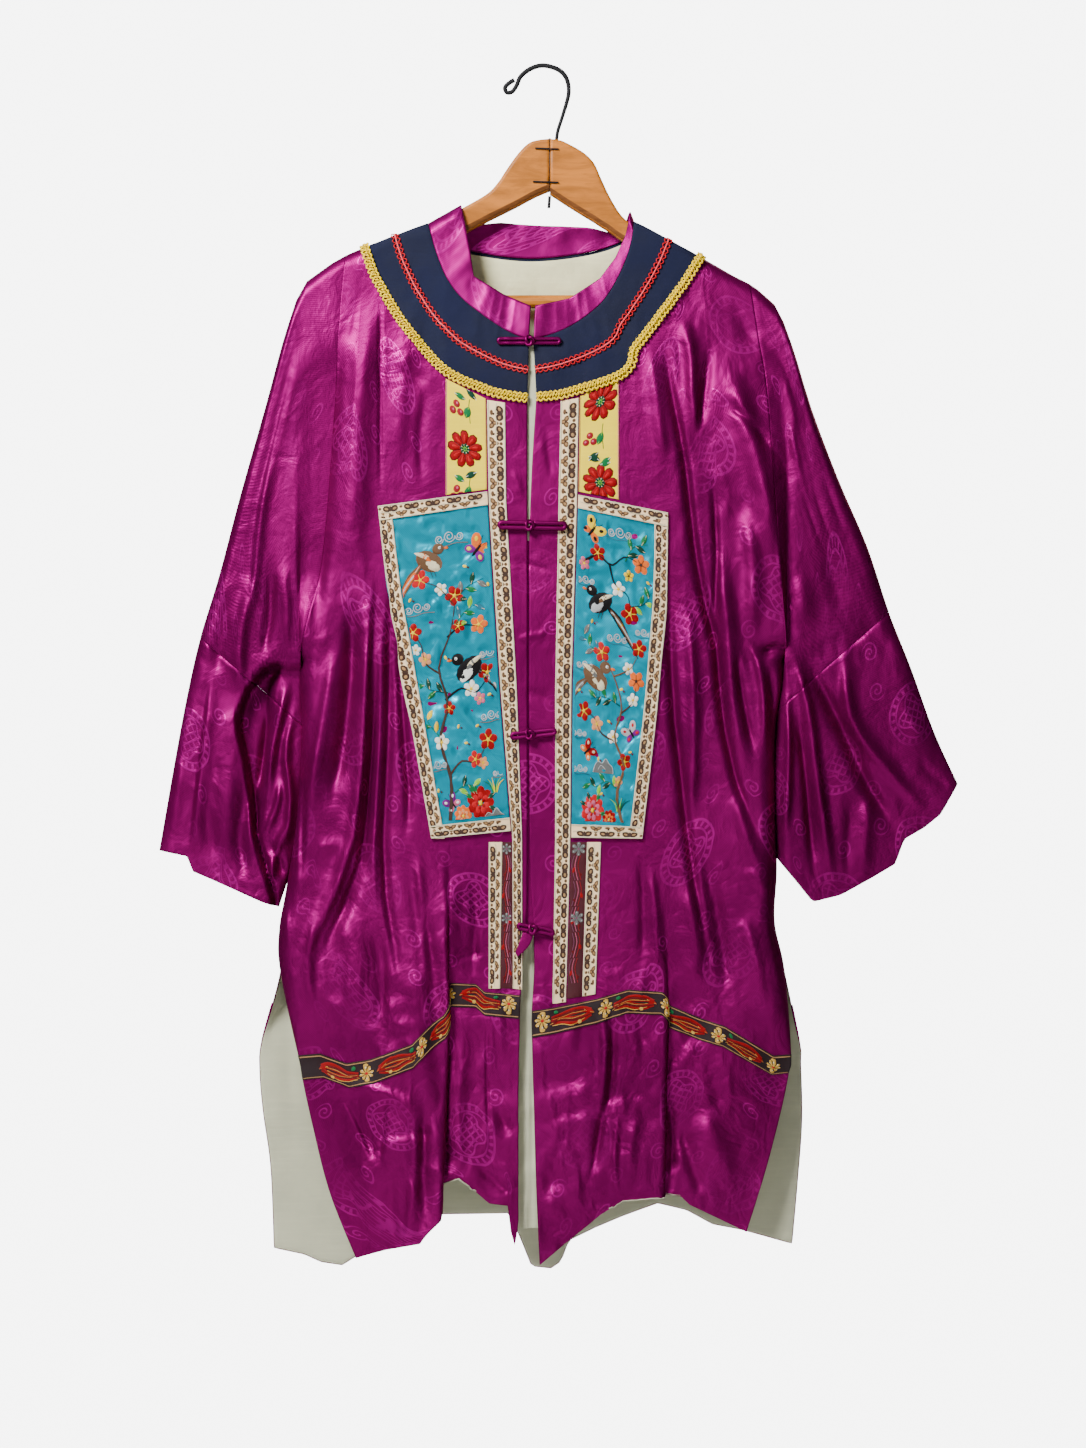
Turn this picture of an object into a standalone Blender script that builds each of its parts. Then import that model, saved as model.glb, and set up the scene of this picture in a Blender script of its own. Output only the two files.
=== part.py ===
import math

import bmesh
import bpy
import numpy as np
from mathutils import Vector
from mathutils.bvhtree import BVHTree

# Chinese jacket on a wooden hanger. Sizes are in millimetres here and in metres in the scene.
# The origin is the hang point inside the top of the hook. "drop" is the distance below it,
# "across" is to the right in the photo and "depth" is positive towards the wall behind.

# Cloth and seams
WALL = 1.3
SEAM_GAP = 0.3
TRIM_WALL = 1.0
TRIM_GAP = 0.65
BRAID_WIDTH = 7.0
GIMP_WIDTH = 8.0
LINING_WALL = 1.0

# Hollow of the garment
RIDGE_RADIUS = 13.0
SHOULDER_FRONT = 15.5
CHEST_FRONT = 27.0
HEM_FRONT = 33.0
SHOULDER_BACK = 13.5
BACK_DEPTH = 21.0
SIDE_RADIUS = 17.0
SLEEVE_FRONT = 17.0
SLEEVE_BACK = 15.0
SLIT_FRONT = 14.0
SLIT_BACK = 17.0

# Hanger
WOOD_THICKNESS = 14.0
WOOD_EDGE = 3.0
BAR_DIAMETER = 12.0
STAPLE_DIAMETER = 1.5
WIRE_DIAMETER = 3.3

# Shoulder line: across, drop
RIDGE = np.array([
    (-400, 340), (-211, 190), (-188, 175), (-160, 162), (-104, 141),
    (81, 138), (142, 171), (170, 187), (194, 200), (212, 217), (400, 380),
], float)

# Neck curves from the centre front to the shoulder: across, drop
YOKE_EDGE = {
    "left": [(-14, 300), (-34, 297), (-52, 292), (-89, 274), (-124, 234), (-150, 191), (-160, 162)],
    "right": [(-6, 299), (15, 296), (35, 291), (64, 275), (88, 247), (110, 219), (128, 194), (142, 171)],
}
NECK_SEAM = {
    "left": [(-12.5, 248), (-34, 239), (-69, 214), (-86, 193), (-97, 166), (-104, 141)],
    "right": [(-8.5, 248), (22, 237), (51, 216), (68, 190), (78, 164), (82, 139)],
    "back": [(-104, 141), (-95, 156), (-57, 166), (-11, 171), (38, 166), (72, 155), (82, 139)],
}
COLLAR_TOP = {
    "left": [(-11, 217), (-36, 206), (-62, 190), (-65, 170), (-69, 148), (-74, 124)],
    "right": [(-7, 217), (24, 210), (51, 192), (65, 173), (74, 153), (79, 131)],
    "back": [(-74, 124), (-68, 140), (-39, 139), (-11, 141), (38, 143), (66, 147), (79, 131)],
}
RED_BRAID = 0.52
BACK_YOKE_DROP = 222.0

# Front and back sheets, a row per section from the neck to the hem
FRONT_ROWS = {
    "left": [
        # centre across, centre drop, pleat across, side across, side drop
        (-14, 300, -82, -178, 170),
        (-14, 365, -84, -184, 238),
        (-14, 430, -86, -188, 319),
        (-13.8, 485, -87, -199, 445),
        (-13.8, 535, -88, -219, 535),
        (-13.8, 598, -88, -218, 598),
        (-13.8, 670, -87, -217, 670),
        (-14, 728, -87, -219, 737),
        (-15, 768, -87, -234, 778),
        (-18, 803, -88, -237, 815),
        (-20, 834, -88, -220, 890),
        (-21, 855, -88, -216, 912),
        (-22, 920, -90, -208, 949),
        (-22, 980, -92, -192, 1012),
        (-22, 1037, -93.5, -168, 1072),
    ],
    "right": [
        (-6, 299, 96, 186, 195),
        (-10, 364, 99, 194, 247),
        (-12.4, 430, 102, 202, 301),
        (-12.6, 485, 104, 211, 430),
        (-12.8, 535, 105, 219, 535),
        (-12.6, 598, 106, 211, 598),
        (-12.2, 670, 107, 210, 665),
        (-11.5, 728, 107, 211, 724),
        (-9, 768, 107, 209, 770),
        (-8, 810, 108, 218, 815),
        (-10, 849, 109, 223, 889),
        (-10, 873, 109, 221, 906),
        (-8, 940, 107, 214, 940),
        (-6, 1010, 106, 200, 994),
        (-3, 1076, 105, 183, 1049),
    ],
}
BAND_TOP_ROW = 10
BAND_LOW_ROW = 11
ARMPIT_ROW = 4
SLIT_ROW = {"left": 9, "right": 9}
BACK_ROWS = [
    # left across, left drop, right across, right drop
    (-178, 170, 186, 195),
    (-184, 238, 194, 247),
    (-188, 319, 202, 301),
    (-199, 445, 211, 430),
    (-219, 535, 219, 535),
    (-218, 598, 211, 598),
    (-217, 670, 210, 665),
    (-219, 737, 211, 724),
    (-234, 778, 209, 770),
    (-237, 815, 218, 815),
    (-254, 878, 232, 880),
    (-256, 905, 233, 900),
    (-253, 942, 234, 951),
    (-246, 994, 230, 1007),
    (-243, 1066, 225, 1062),
]

# Lower edges that dip and rise, as across and drop
BAND_TOP = {
    "left": [(-21, 835), (-52, 832), (-60, 825), (-83, 824), (-92, 852), (-117, 878), (-154, 892), (-176, 896),
             (-200, 888), (-220, 890)],
    "right": [(-10, 849), (10, 846), (49, 838), (76, 830), (105, 832), (113, 844), (141, 856), (163, 863),
              (207, 890), (223, 889)],
}
HEM_LINE = {
    "left": [(-22, 1037), (-25, 1060), (-29, 1046), (-31, 1023), (-48, 1021), (-75, 998), (-92, 1004),
             (-95, 1034), (-110, 1056), (-140, 1063), (-168, 1072)],
    "right": [(-3, 1076), (20, 1057), (53, 1030), (71, 1019), (104, 1016), (106, 1012), (124, 1016),
              (131, 1023), (183, 1049)],
    "back": [(-243, 1066), (-216, 1072), (-201, 1079), (-182, 1082), (-168, 1073), (-95, 1036), (-30, 1035),
             (-20, 1058), (-10, 1083), (7, 1085), (16, 1079), (23, 1060), (47, 1048), (71, 1038),
             (104, 1026), (130, 1032), (154, 1045), (181, 1050), (225, 1062)],
}

# Sleeves, a row per section from the armhole to the cuff: outer edge, then inner edge
SLEEVE_ROWS = {
    "left": [
        # outer across, outer drop, inner across, inner drop
        (-178, 170, -219, 535),
        (-213, 193, -219.5, 537),
        (-230, 233, -220, 540),
        (-250, 305, -220.5, 549),
        (-273, 386, -221, 563),
        (-292, 458, -221, 578),
        (-309, 514, -221, 596),
        (-320, 562, -221, 636),
        (-331, 620, -224, 698),
        (-346, 706, -239, 757),
    ],
    "right": [
        (186, 195, 219, 535),
        (209, 214, 219.5, 537),
        (224, 249, 220, 540),
        (242, 307, 220, 546),
        (267, 373, 219, 555),
        (292, 431, 218, 566),
        (312, 491, 217, 580),
        (332, 542, 215, 614),
        (353, 600, 214, 658),
        (374, 646, 213, 712),
    ],
}
SLEEVE_SEAM_ROW = 6
CUFF = {
    # share of the way from the outer to the inner corner, how far the edge hangs below the chord
    "left": [(0.0, 0), (0.24, -7), (0.29, 4), (0.5, 3), (0.86, 2), (1.0, 0)],
    "right": [(0.0, 0), (0.1, 21), (0.19, 27), (0.3, 30), (0.35, 49), (0.48, 53), (0.65, 57), (0.8, 53),
              (0.9, 26), (1.0, 0)],
}
INNER_FOLD = [(-222, 534), (-237, 538), (-258, 553), (-275, 589), (-269, 627), (-261, 691), (-243, 750)]

# Largest folds: from across and drop, to across and drop, half width, height towards the viewer
FRONT_FOLDS = [
    (-163, 205, -172, 445, 14, 6.5),
    (-186, 235, -215, 530, 9, -6.0),
    (-145, 245, -145, 395, 5, -2.5),
    (-191, 560, -219, 800, 10, 6.0),
    (-176, 505, -198, 840, 8, -5.5),
    (-158, 520, -174, 850, 9, 5.0),
    (-148, 480, -160, 900, 7, -4.5),
    (-130, 600, -138, 870, 9, 4.5),
    (-122, 640, -122, 760, 6, -3.5),
    (-112, 740, -108, 1020, 12, 6.0),
    (122, 230, 130, 520, 8, -4.5),
    (142, 245, 152, 600, 9, 5.0),
    (166, 270, 172, 640, 8, -5.0),
    (184, 300, 188, 660, 9, 5.0),
    (226, 280, 214, 390, 7, -5.0),
    (214, 395, 214, 520, 7, -6.0),
    (150, 560, 156, 860, 8, -4.5),
    (176, 640, 176, 880, 9, 4.5),
    (134, 760, 150, 1000, 12, 4.0),
    (40, 880, 60, 1020, 10, -3.0),
]
SLEEVE_FOLDS = [
    (-222, 300, -248, 440, 12, 4.5),
    (-245, 300, -290, 500, 8, -3.0),
    (-262, 430, -300, 690, 12, 4.0),
    (-236, 600, -250, 740, 8, 3.0),
    (238, 330, 262, 500, 12, 4.5),
    (232, 540, 258, 735, 8, -5.0),
    (250, 545, 300, 700, 9, 5.0),
    (268, 560, 322, 690, 7, -4.5),
    (290, 590, 345, 680, 9, 4.0),
]
BACK_FOLDS = [
    (-150, 560, -170, 1050, 18, 3.0),
    (-80, 600, -85, 1050, 16, -2.5),
    (0, 560, 0, 1060, 20, 3.0),
    (85, 600, 80, 1040, 16, -2.5),
    (160, 560, 170, 1040, 18, 3.0),
]
PLEAT = {"left": (14.0, 690.0), "right": (-9.0, 740.0)}

# Trims on the fronts, a row per section: drop and across of the edge nearest the centre, then
# drop and across of the edge furthest from it
FRONT_TAPE = {
    "left": [(304.5, -34, 302, -50), (392, -33, 392, -48.5), (560, -23.5, 560, -38), (693, -18.8, 693, -27.5),
             (830, -21, 829, -31)],
    "right": [(303, 16, 300, 32), (392, 14, 392, 30.5), (560, 11, 560, 25.5), (693, 11, 693, 24.5),
              (842.5, 8.6, 841, 20.6)],
}
FLOWER_RIBBON = {
    "left": [(301, -51.2, 283, -87), (382, -50.2, 387, -87)],
    "right": [(299, 33.2, 281, 68), (384, 32.0, 391, 68)],
}
LOWER_TAPE = {
    "left": [(698, -36.5, 698, -48.5), (829, -38.5, 829, -48.5)],
    "right": [(698, 39.5, 698, 52), (836, 35, 834, 47)],
}
BROCADE_STRIP = {
    "left": [(698, -28.3, 698, -36), (829, -31.8, 829, -38)],
    "right": [(698, 25.3, 698, 39), (838, 21.6, 836, 34.5)],
}
PANEL = {
    "left": [(384, -50.0, 397, -148), (450, -46.2, 470, -140), (560, -39.2, 575, -121), (688, -29, 695, -100)],
    "right": [(387, 31.6, 403, 112), (450, 29.9, 470, 111.5), (560, 26.6, 575, 103), (694, 25.4, 695, 89)],
}
BORDER_WIDTH = 12.0
FROGS = [
    # left end, knot and right end across, drop at the left and the right, bar height
    (-40, -12, 15, 249, 249, 7.5),
    (-39, -12, 20, 414, 415, 9.0),
    (-28, -12, 11, 603, 599, 8.0),
    (-22, -9, 9, 773, 779, 8.0),
]

# Hanger arms: across, top drop, lower drop
ARM_LEFT = [
    (5.8, 65, 112), (-4, 66, 116), (-13, 69, 120.5), (-23, 79, 126), (-33, 93, 131), (-41, 105, 135),
    (-51, 115, 140), (-72, 127.2, 151), (-80, 132, 155), (-98, 142, 165), (-104, 144.7, 168),
    (-134, 156.1, 182), (-158, 165.3, 195), (-176, 172.5, 204), (-188, 179.6, 211), (-204, 190.4, 220),
]
ARM_RIGHT = [
    (6.2, 65, 115), (14, 66, 120), (20, 68, 124), (36, 77, 134), (46, 87, 140), (52, 100, 144),
    (60, 117, 149), (68, 130.5, 155), (74.5, 138, 159), (82, 143, 163), (94, 150.2, 171), (112, 160, 182),
    (136, 172.5, 198), (148, 177.5, 205), (166, 187.8, 214), (184, 197.7, 222), (190, 201.3, 225),
    (196, 206.3, 228), (200, 209.8, 230),
]
BAR_DROP = 211.5
BAR_ENDS = (-188.1, 160.2)
BAR_LEAN = {"left": -1.745, "right": 2.07}
HOOK_PATH = [
    (-23.5, 21), (-28, 25), (-34, 22.5), (-35, 16.5), (-31, 12), (-25, 12), (-21, 8), (-11, 1.2),
    (0, -1.65), (12, 1.2), (19, 6.5), (22.5, 14), (23.2, 23), (21, 33), (17, 46), (13.5, 57), (12.2, 65.1),
]

COLOURS = {
    # name: red, green, blue, roughness
    "satin": (0.30, 0.012, 0.17, 0.38),
    "navy": (0.012, 0.02, 0.09, 0.85),
    "red": (0.68, 0.035, 0.06, 0.7),
    "yellow": (0.80, 0.55, 0.04, 0.7),
    "flower": (0.85, 0.72, 0.20, 0.7),
    "turquoise": (0.0, 0.34, 0.56, 0.45),
    "cream": (0.66, 0.54, 0.36, 0.8),
    "brocade": (0.10, 0.01, 0.02, 0.6),
    "black_ribbon": (0.03, 0.012, 0.015, 0.6),
    "frog": (0.16, 0.008, 0.08, 0.5),
    "lining": (0.42, 0.45, 0.34, 0.8),
    "wood": (0.50, 0.24, 0.09, 0.4),
    "wire": (0.015, 0.015, 0.018, 0.35),
}

SIDES = ("left", "right")


def ease(value):
    value = min(max(value, 0.0), 1.0)
    return value * value * (3.0 - 2.0 * value)


def rounded(distance, radius):
    """Quarter of an ellipse: 0 at an edge, 1 from the radius on."""
    share = min(max(distance / radius, 0.0), 1.0)
    return math.sqrt(max(0.0, 1.0 - (1.0 - share) ** 2))


def read_curve(points, across):
    points = np.array(points, float)
    if points[0, 0] > points[-1, 0]:
        points = points[::-1]
    return float(np.interp(across, points[:, 0], points[:, 1]))


def along_curve(points, share):
    """A point at this share of a curve's length."""
    points = np.array(points, float)
    steps = np.concatenate([[0.0], np.cumsum(np.linalg.norm(np.diff(points, axis=0), axis=1))])
    place = share * steps[-1]
    return np.array([np.interp(place, steps, points[:, k]) for k in range(points.shape[1])])


def soft_folds(table, across, drop):
    """Height towards the viewer of soft ridges and troughs along straight lines."""
    total = 0.0
    for x0, z0, x1, z1, half_width, height in table:
        run_x, run_z = x1 - x0, z1 - z0
        length = math.hypot(run_x, run_z)
        share = ((across - x0) * run_x + (drop - z0) * run_z) / length ** 2
        if share < -0.25 or share > 1.25:
            continue
        off = abs((across - x0) * run_z - (drop - z0) * run_x) / length
        fade = ease((share + 0.25) / 0.45) * ease((1.25 - share) / 0.45)
        total += height * fade * math.exp(-(off / half_width) ** 2)
    return total


def below_ridge(across, drop):
    return drop - float(np.interp(across, RIDGE[:, 0], RIDGE[:, 1]))


def pleat_depth(side, across, drop, line):
    """A knife pleat beside the panels: one side of its line stands in front."""
    height, start = PLEAT[side]
    grown = ease((drop - start) / 150.0)
    side_sign = -1.0 if side == "left" else 1.0
    step = ease((side_sign * (across - line) + 3.5) / 7.0)
    far = math.exp(-(max(0.0, side_sign * (across - line)) / 60.0) ** 2)
    return height * grown * step * far


def front_depth(across, drop):
    """How far the front lies before the middle plane, without sides."""
    down = below_ridge(across, drop)
    deep = SHOULDER_FRONT + (CHEST_FRONT - SHOULDER_FRONT) * ease((down - 8.0) / 160.0)
    deep += (HEM_FRONT - CHEST_FRONT) * ease((drop - 700.0) / 300.0)
    folds = soft_folds(FRONT_FOLDS, across, drop) * ease((down - 20.0) / 60.0)
    return deep * rounded(down, RIDGE_RADIUS) + folds


def back_depth(across, drop):
    down = below_ridge(across, drop)
    deep = SHOULDER_BACK + (BACK_DEPTH - SHOULDER_BACK) * ease((down - 8.0) / 160.0)
    return deep * rounded(down, RIDGE_RADIUS) + soft_folds(BACK_FOLDS, across, drop)


# Spacing of rows and columns

# Shares of the way between two table rows
ROW_STEPS = {0: (0.0, 0.028, 0.095, 0.2, 0.6), 1: (0.0, 0.5), 2: (0.0, 0.5), 3: (0.0, 0.5, 0.83, 0.95),
             4: (0.0, 0.5), 5: (0.0, 0.5), 6: (0.0,), 7: (0.0, 0.5), 8: (0.0,), 9: (0.0,),
             10: (0.0,), 11: (0.0, 0.5), 12: (0.0, 0.5), 13: (0.0, 0.5)}
ROWS = [(k, s) for k in sorted(ROW_STEPS) for s in ROW_STEPS[k]] + [(13, 1.0)]
ARMHOLE_COUNT = sum(len(ROW_STEPS[k]) for k in range(ARMPIT_ROW)) + 1
INNER_COLUMNS = (0.0, 0.07, 0.16, 0.27, 0.4, 0.54, 0.68, 0.82, 0.95, 1.0)
OUTER_COLUMNS = {
    "left": (0.08, 0.2, 0.33, 0.46, 0.58, 0.69, 0.766, 0.79, 0.804, 0.8125, 0.87, 0.935, 0.982, 1.0),
    "right": (0.08, 0.19, 0.31, 0.433, 0.472, 0.498, 0.5111, 0.6, 0.69, 0.78, 0.87, 0.935, 0.982, 1.0),
}
BACK_COLUMNS = (0.0, 0.0053, 0.0198, 0.0395, 0.04945, 0.0555, 0.0618, 0.1, 0.17, 0.27, 0.38, 0.5,
                0.61, 0.72, 0.81, 0.8599, 0.8695, 0.8791, 0.92, 0.9605, 0.9802, 0.9947, 1.0)
PLEAT_COLUMN = len(INNER_COLUMNS) - 1


def table_row(table, place):
    k, share = place
    low = np.array(table[k], float)
    high = np.array(table[min(k + 1, len(table) - 1)], float)
    return low + (high - low) * share


def dip(curve, ends, share):
    """How far a curve hangs below the line between its ends, at a share of the way across."""
    across = ends[0] + (ends[2] - ends[0]) * share
    chord = ends[1] + (ends[3] - ends[1]) * share
    return read_curve(curve, across) - chord


def front_row_dip(side, place, share):
    """Dips of the neck edge, the hem band and the hem, fading between them."""
    rows = FRONT_ROWS[side]
    k, part = place
    if k < ARMPIT_ROW:
        ends = rows[0][:2] + rows[0][3:]
        fade = 1.0 - (k + part) / ARMPIT_ROW
        return neck_and_ridge(side, ends, share) * fade ** 1.6
    band_ends = rows[BAND_TOP_ROW][:2] + rows[BAND_TOP_ROW][3:]
    band = dip(BAND_TOP[side], band_ends, share)
    if k < BAND_TOP_ROW:
        return band * ease((k + part - 6.0) / (BAND_TOP_ROW - 6.0))
    hem_ends = rows[-1][:2] + rows[-1][3:]
    hem = dip(HEM_LINE[side], hem_ends, share)
    blend = max(0.0, (k + part - BAND_LOW_ROW)) / (13.99 - BAND_LOW_ROW)
    return band * (1.0 - min(blend * 1.4, 1.0)) + hem * min(max(blend * 2.0 - 1.0, 0.0), 1.0) ** 1.5


def neck_and_ridge(side, ends, share):
    across = ends[0] + (ends[2] - ends[0]) * share
    chord = ends[1] + (ends[3] - ends[1]) * share
    edge = YOKE_EDGE[side]
    if abs(across) <= abs(edge[-1][0]):
        return read_curve(edge, across) - chord
    return float(np.interp(across, RIDGE[:, 0], RIDGE[:, 1])) - chord


def front_column(side, row, column):
    """Across and share of the width at a column of a row."""
    centre, pleat, edge = row[0], row[2], row[3]
    if column <= PLEAT_COLUMN:
        across = centre + (pleat - centre) * INNER_COLUMNS[column]
    else:
        across = pleat + (edge - pleat) * OUTER_COLUMNS[side][column - PLEAT_COLUMN - 1]
    return across, (across - centre) / (edge - centre)


def side_factor(side, place, inset, armpit_share):
    """1 well inside the sheet, and at the side what the seam needs."""
    k, part = place
    slit = SLIT_ROW[side]
    if k < ARMPIT_ROW:
        to_armpit = armpit_share
        at_edge = rounded(to_armpit, SIDE_RADIUS * 1.6)
    elif k + part <= slit:
        at_edge = 0.0
    else:
        at_edge = ease((k + part - slit) / 1.2)
    return at_edge + (1.0 - at_edge) * rounded(inset, SIDE_RADIUS)


def front_sheet(side):
    """The front's outer points, rows from the neck to the hem, columns from the centre to the side."""
    rows = FRONT_ROWS[side]
    armpit_drop = rows[ARMPIT_ROW][4]
    columns = len(INNER_COLUMNS) + len(OUTER_COLUMNS[side])
    grid = np.zeros((len(ROWS), columns, 3))
    for i, place in enumerate(ROWS):
        row = table_row(rows, place)
        for j in range(columns):
            across, share = front_column(side, row, j)
            drop = row[1] + (row[4] - row[1]) * share + front_row_dip(side, place, share)
            inset = abs(row[3] - across)
            edge = side_factor(side, place, inset, armpit_drop - row[4])
            depth = front_depth(across, drop)
            slit_part = ease((place[0] + place[1] - SLIT_ROW[side]) / 1.2)
            near_slit = slit_part * math.exp(-(inset / 40.0) ** 2)
            depth = depth * (1.0 - near_slit) + SLIT_FRONT * near_slit
            depth *= edge
            depth += pleat_depth(side, across, drop, row[2])
            grid[i, j] = (across, -depth, drop)
    return grid


def back_sheet():
    shares = BACK_COLUMNS
    grid = np.zeros((len(ROWS), len(shares), 3))
    first = BACK_ROWS[0]
    last = BACK_ROWS[-1]
    for i, place in enumerate(ROWS):
        row = table_row(BACK_ROWS, place)
        k, part = place
        for j, share in enumerate(shares):
            across = row[0] + (row[2] - row[0]) * share
            drop = row[1] + (row[3] - row[1]) * share
            if k < ARMPIT_ROW:
                fade = (1.0 - (k + part) / ARMPIT_ROW) ** 1.6
                top_across = first[0] + (first[2] - first[0]) * share
                top_chord = first[1] + (first[3] - first[1]) * share
                drop += (back_top_edge(top_across) - top_chord) * fade
            if k + part > 9.0:
                grown = ease((k + part - 9.0) / 5.0)
                drop += dip(HEM_LINE["back"], last, share) * grown
            side = "left" if share < 0.5 else "right"
            inset = min(across - row[0], row[2] - across)
            edge_drop = row[1] if side == "left" else row[3]
            edge = side_factor(side, place, inset, BACK_ROWS[ARMPIT_ROW][1] - edge_drop)
            depth = back_depth(across, drop)
            slit_part = ease((k + part - SLIT_ROW[side]) / 1.2)
            near_slit = slit_part * math.exp(-(inset / 40.0) ** 2)
            depth = (depth * (1.0 - near_slit) + SLIT_BACK * near_slit) * edge
            grid[i, j] = (across, depth, drop)
    return grid


def back_top_edge(across):
    """The yoke's edge behind the neck, and the shoulder line outside it."""
    left, right = YOKE_EDGE["left"][-1], YOKE_EDGE["right"][-1]
    if across <= left[0] or across >= right[0]:
        return float(np.interp(across, RIDGE[:, 0], RIDGE[:, 1]))
    middle = 0.5 * (left[0] + right[0])
    half = 0.5 * (right[0] - left[0])
    off = abs(across - middle) / half
    end_drop = left[1] if across < middle else right[1]
    return end_drop + (BACK_YOKE_DROP - end_drop) * max(0.0, 1.0 - off ** 2.6) ** 0.8


# Solids from grids of points

def grid_normals(grid, wrap):
    """Unit normals at the points, as the mean of the faces round each."""
    rows, columns = grid.shape[:2]
    right = np.roll(grid, -1, axis=1) if wrap else grid[:, 1:]
    here = grid if wrap else grid[:, :-1]
    across = (right - here)
    across = (across[1:] + across[:-1]) * 0.5
    down_here = here[1:] - here[:-1]
    down_right = right[1:] - right[:-1]
    down = (down_here + down_right) * 0.5
    faces = np.cross(across, down)
    size = np.linalg.norm(faces, axis=2, keepdims=True)
    faces = faces / np.maximum(size, 1e-9)
    total = np.zeros_like(grid)
    total[:-1, :faces.shape[1]] += faces
    total[1:, :faces.shape[1]] += faces
    if wrap:
        total[:-1] += np.roll(faces, 1, axis=1)
        total[1:] += np.roll(faces, 1, axis=1)
    else:
        total[:-1, 1:] += faces
        total[1:, 1:] += faces
    size = np.linalg.norm(total, axis=2, keepdims=True)
    return total / np.maximum(size, 1e-9)


def flatten_rim(normals, index, direction):
    """Turns the normals of one rim into the plane of its seam."""
    direction = np.asarray(direction, float)
    length = np.linalg.norm(direction, axis=-1, keepdims=True)
    direction = direction / np.maximum(length, 1e-9)
    rim = normals[index]
    rim = rim - np.sum(rim * direction, axis=-1, keepdims=True) * direction
    normals[index] = rim / np.maximum(np.linalg.norm(rim, axis=-1, keepdims=True), 1e-9)


def to_scene(point):
    return (point[0] / 1000.0, point[1] / 1000.0, -point[2] / 1000.0)


def grid_solid(name, outer, inner, colour, wrap=False, smooth=True):
    """A closed wall between two grids of points."""
    rows, columns = outer.shape[:2]
    verts = [to_scene(p) for p in outer.reshape(-1, 3)] + [to_scene(p) for p in inner.reshape(-1, 3)]
    count = rows * columns
    faces = []
    spans = columns if wrap else columns - 1
    for i in range(rows - 1):
        for j in range(spans):
            a, b = i * columns + j, i * columns + (j + 1) % columns
            c, d = b + columns, a + columns
            faces.append((a, b, c, d))
            faces.append((a + count, d + count, c + count, b + count))
    for j in range(spans):
        a, b = j, (j + 1) % columns
        faces.append((a, a + count, b + count, b))
        a, b = a + (rows - 1) * columns, b + (rows - 1) * columns
        faces.append((a, b, b + count, a + count))
    if not wrap:
        for i in range(rows - 1):
            a, d = i * columns, (i + 1) * columns
            faces.append((a, d, d + count, a + count))
            a, d = a + columns - 1, d + columns - 1
            faces.append((a, a + count, d + count, d))
    return make_object(name, verts, faces, colour, smooth)


def make_object(name, verts, faces, colour, smooth=True):
    mesh = bpy.data.meshes.new(name)
    mesh.from_pydata(verts, [], faces)
    solid = bmesh.new()
    solid.from_mesh(mesh)
    bmesh.ops.recalc_face_normals(solid, faces=solid.faces)
    bmesh.ops.triangulate(solid, faces=solid.faces)
    solid.to_mesh(mesh)
    solid.free()
    mesh.materials.append(MATERIALS[colour])
    if smooth:
        mesh.shade_smooth()
        mesh.set_sharp_from_angle(angle=math.radians(50))
    thing = bpy.data.objects.new(name, mesh)
    COLLECTION.objects.link(thing)
    return thing


def wall_inside(outer, thickness, towards, wrap=False, rims=()):
    """The inner points of a wall. towards picks the side that is inside."""
    normals = grid_normals(outer, wrap)
    if towards(outer, normals) < 0:
        normals = -normals
    for index, direction in rims:
        flatten_rim(normals, index, direction)
    return outer + normals * thickness, normals


def facing_back(outer, normals):
    return float(np.sum(normals[..., 1]))


def facing_front(outer, normals):
    return -float(np.sum(normals[..., 1]))


def facing_middle(outer, normals):
    centre = outer.mean(axis=1, keepdims=True)
    return float(np.sum((centre - outer) * normals))


def tube_along(name, path, width, height, colour, sides=6, closed=False, normals=None):
    """A rounded cord along a path, width across the surface and height off it."""
    path = np.asarray(path, float)
    count = len(path)
    verts = []
    for i in range(count):
        before = path[i - 1] if (i > 0 or closed) else path[i]
        after = path[(i + 1) % count] if (i < count - 1 or closed) else path[i]
        run = after - before
        run = run / max(np.linalg.norm(run), 1e-9)
        up = np.array([0.0, -1.0, 0.0]) if normals is None else np.asarray(normals[i], float)
        up = up - np.dot(up, run) * run
        up = up / max(np.linalg.norm(up), 1e-9)
        over = np.cross(run, up)
        for k in range(sides):
            turn = 2.0 * math.pi * (k + 0.5) / sides
            swell = 1.0 if sides > 4 else math.sqrt(2.0)
            point = path[i] + (over * math.cos(turn) * width + up * math.sin(turn) * height) * swell / 2.0
            verts.append(to_scene(point))
    faces = []
    for i in range(count if closed else count - 1):
        for k in range(sides):
            a = i * sides + k
            b = i * sides + (k + 1) % sides
            c = ((i + 1) % count) * sides + (k + 1) % sides
            d = ((i + 1) % count) * sides + k
            faces.append((a, b, c, d))
    if not closed:
        faces.append(tuple(range(sides)))
        faces.append(tuple((count - 1) * sides + k for k in reversed(range(sides))))
    return make_object(name, verts, faces, colour)


def strip_solid(name, points, colour, base):
    """A trim on a sheet. points is a grid of across and drop, laid on the sheet's own points."""
    rows, columns = len(points), len(points[0])
    under = np.zeros((rows, columns, 3))
    for i in range(rows):
        for j in range(columns):
            across, drop = points[i][j]
            under[i, j] = (across, lie_on(base, across, drop), drop)
    normals = grid_normals(under, False)
    if facing_front(under, normals) < 0:
        normals = -normals
    low = under + normals * TRIM_GAP
    high = under + normals * (TRIM_GAP + TRIM_WALL)
    return grid_solid(name, high, low, colour)


def sheet_tree(grid):
    rows, columns = grid.shape[:2]
    verts = [Vector(p) for p in grid.reshape(-1, 3)]
    faces = []
    for i in range(rows - 1):
        for j in range(columns - 1):
            a = i * columns + j
            faces.append((a, a + 1, a + columns + 1))
            faces.append((a, a + columns + 1, a + columns))
    return BVHTree.FromPolygons(verts, faces)


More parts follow.
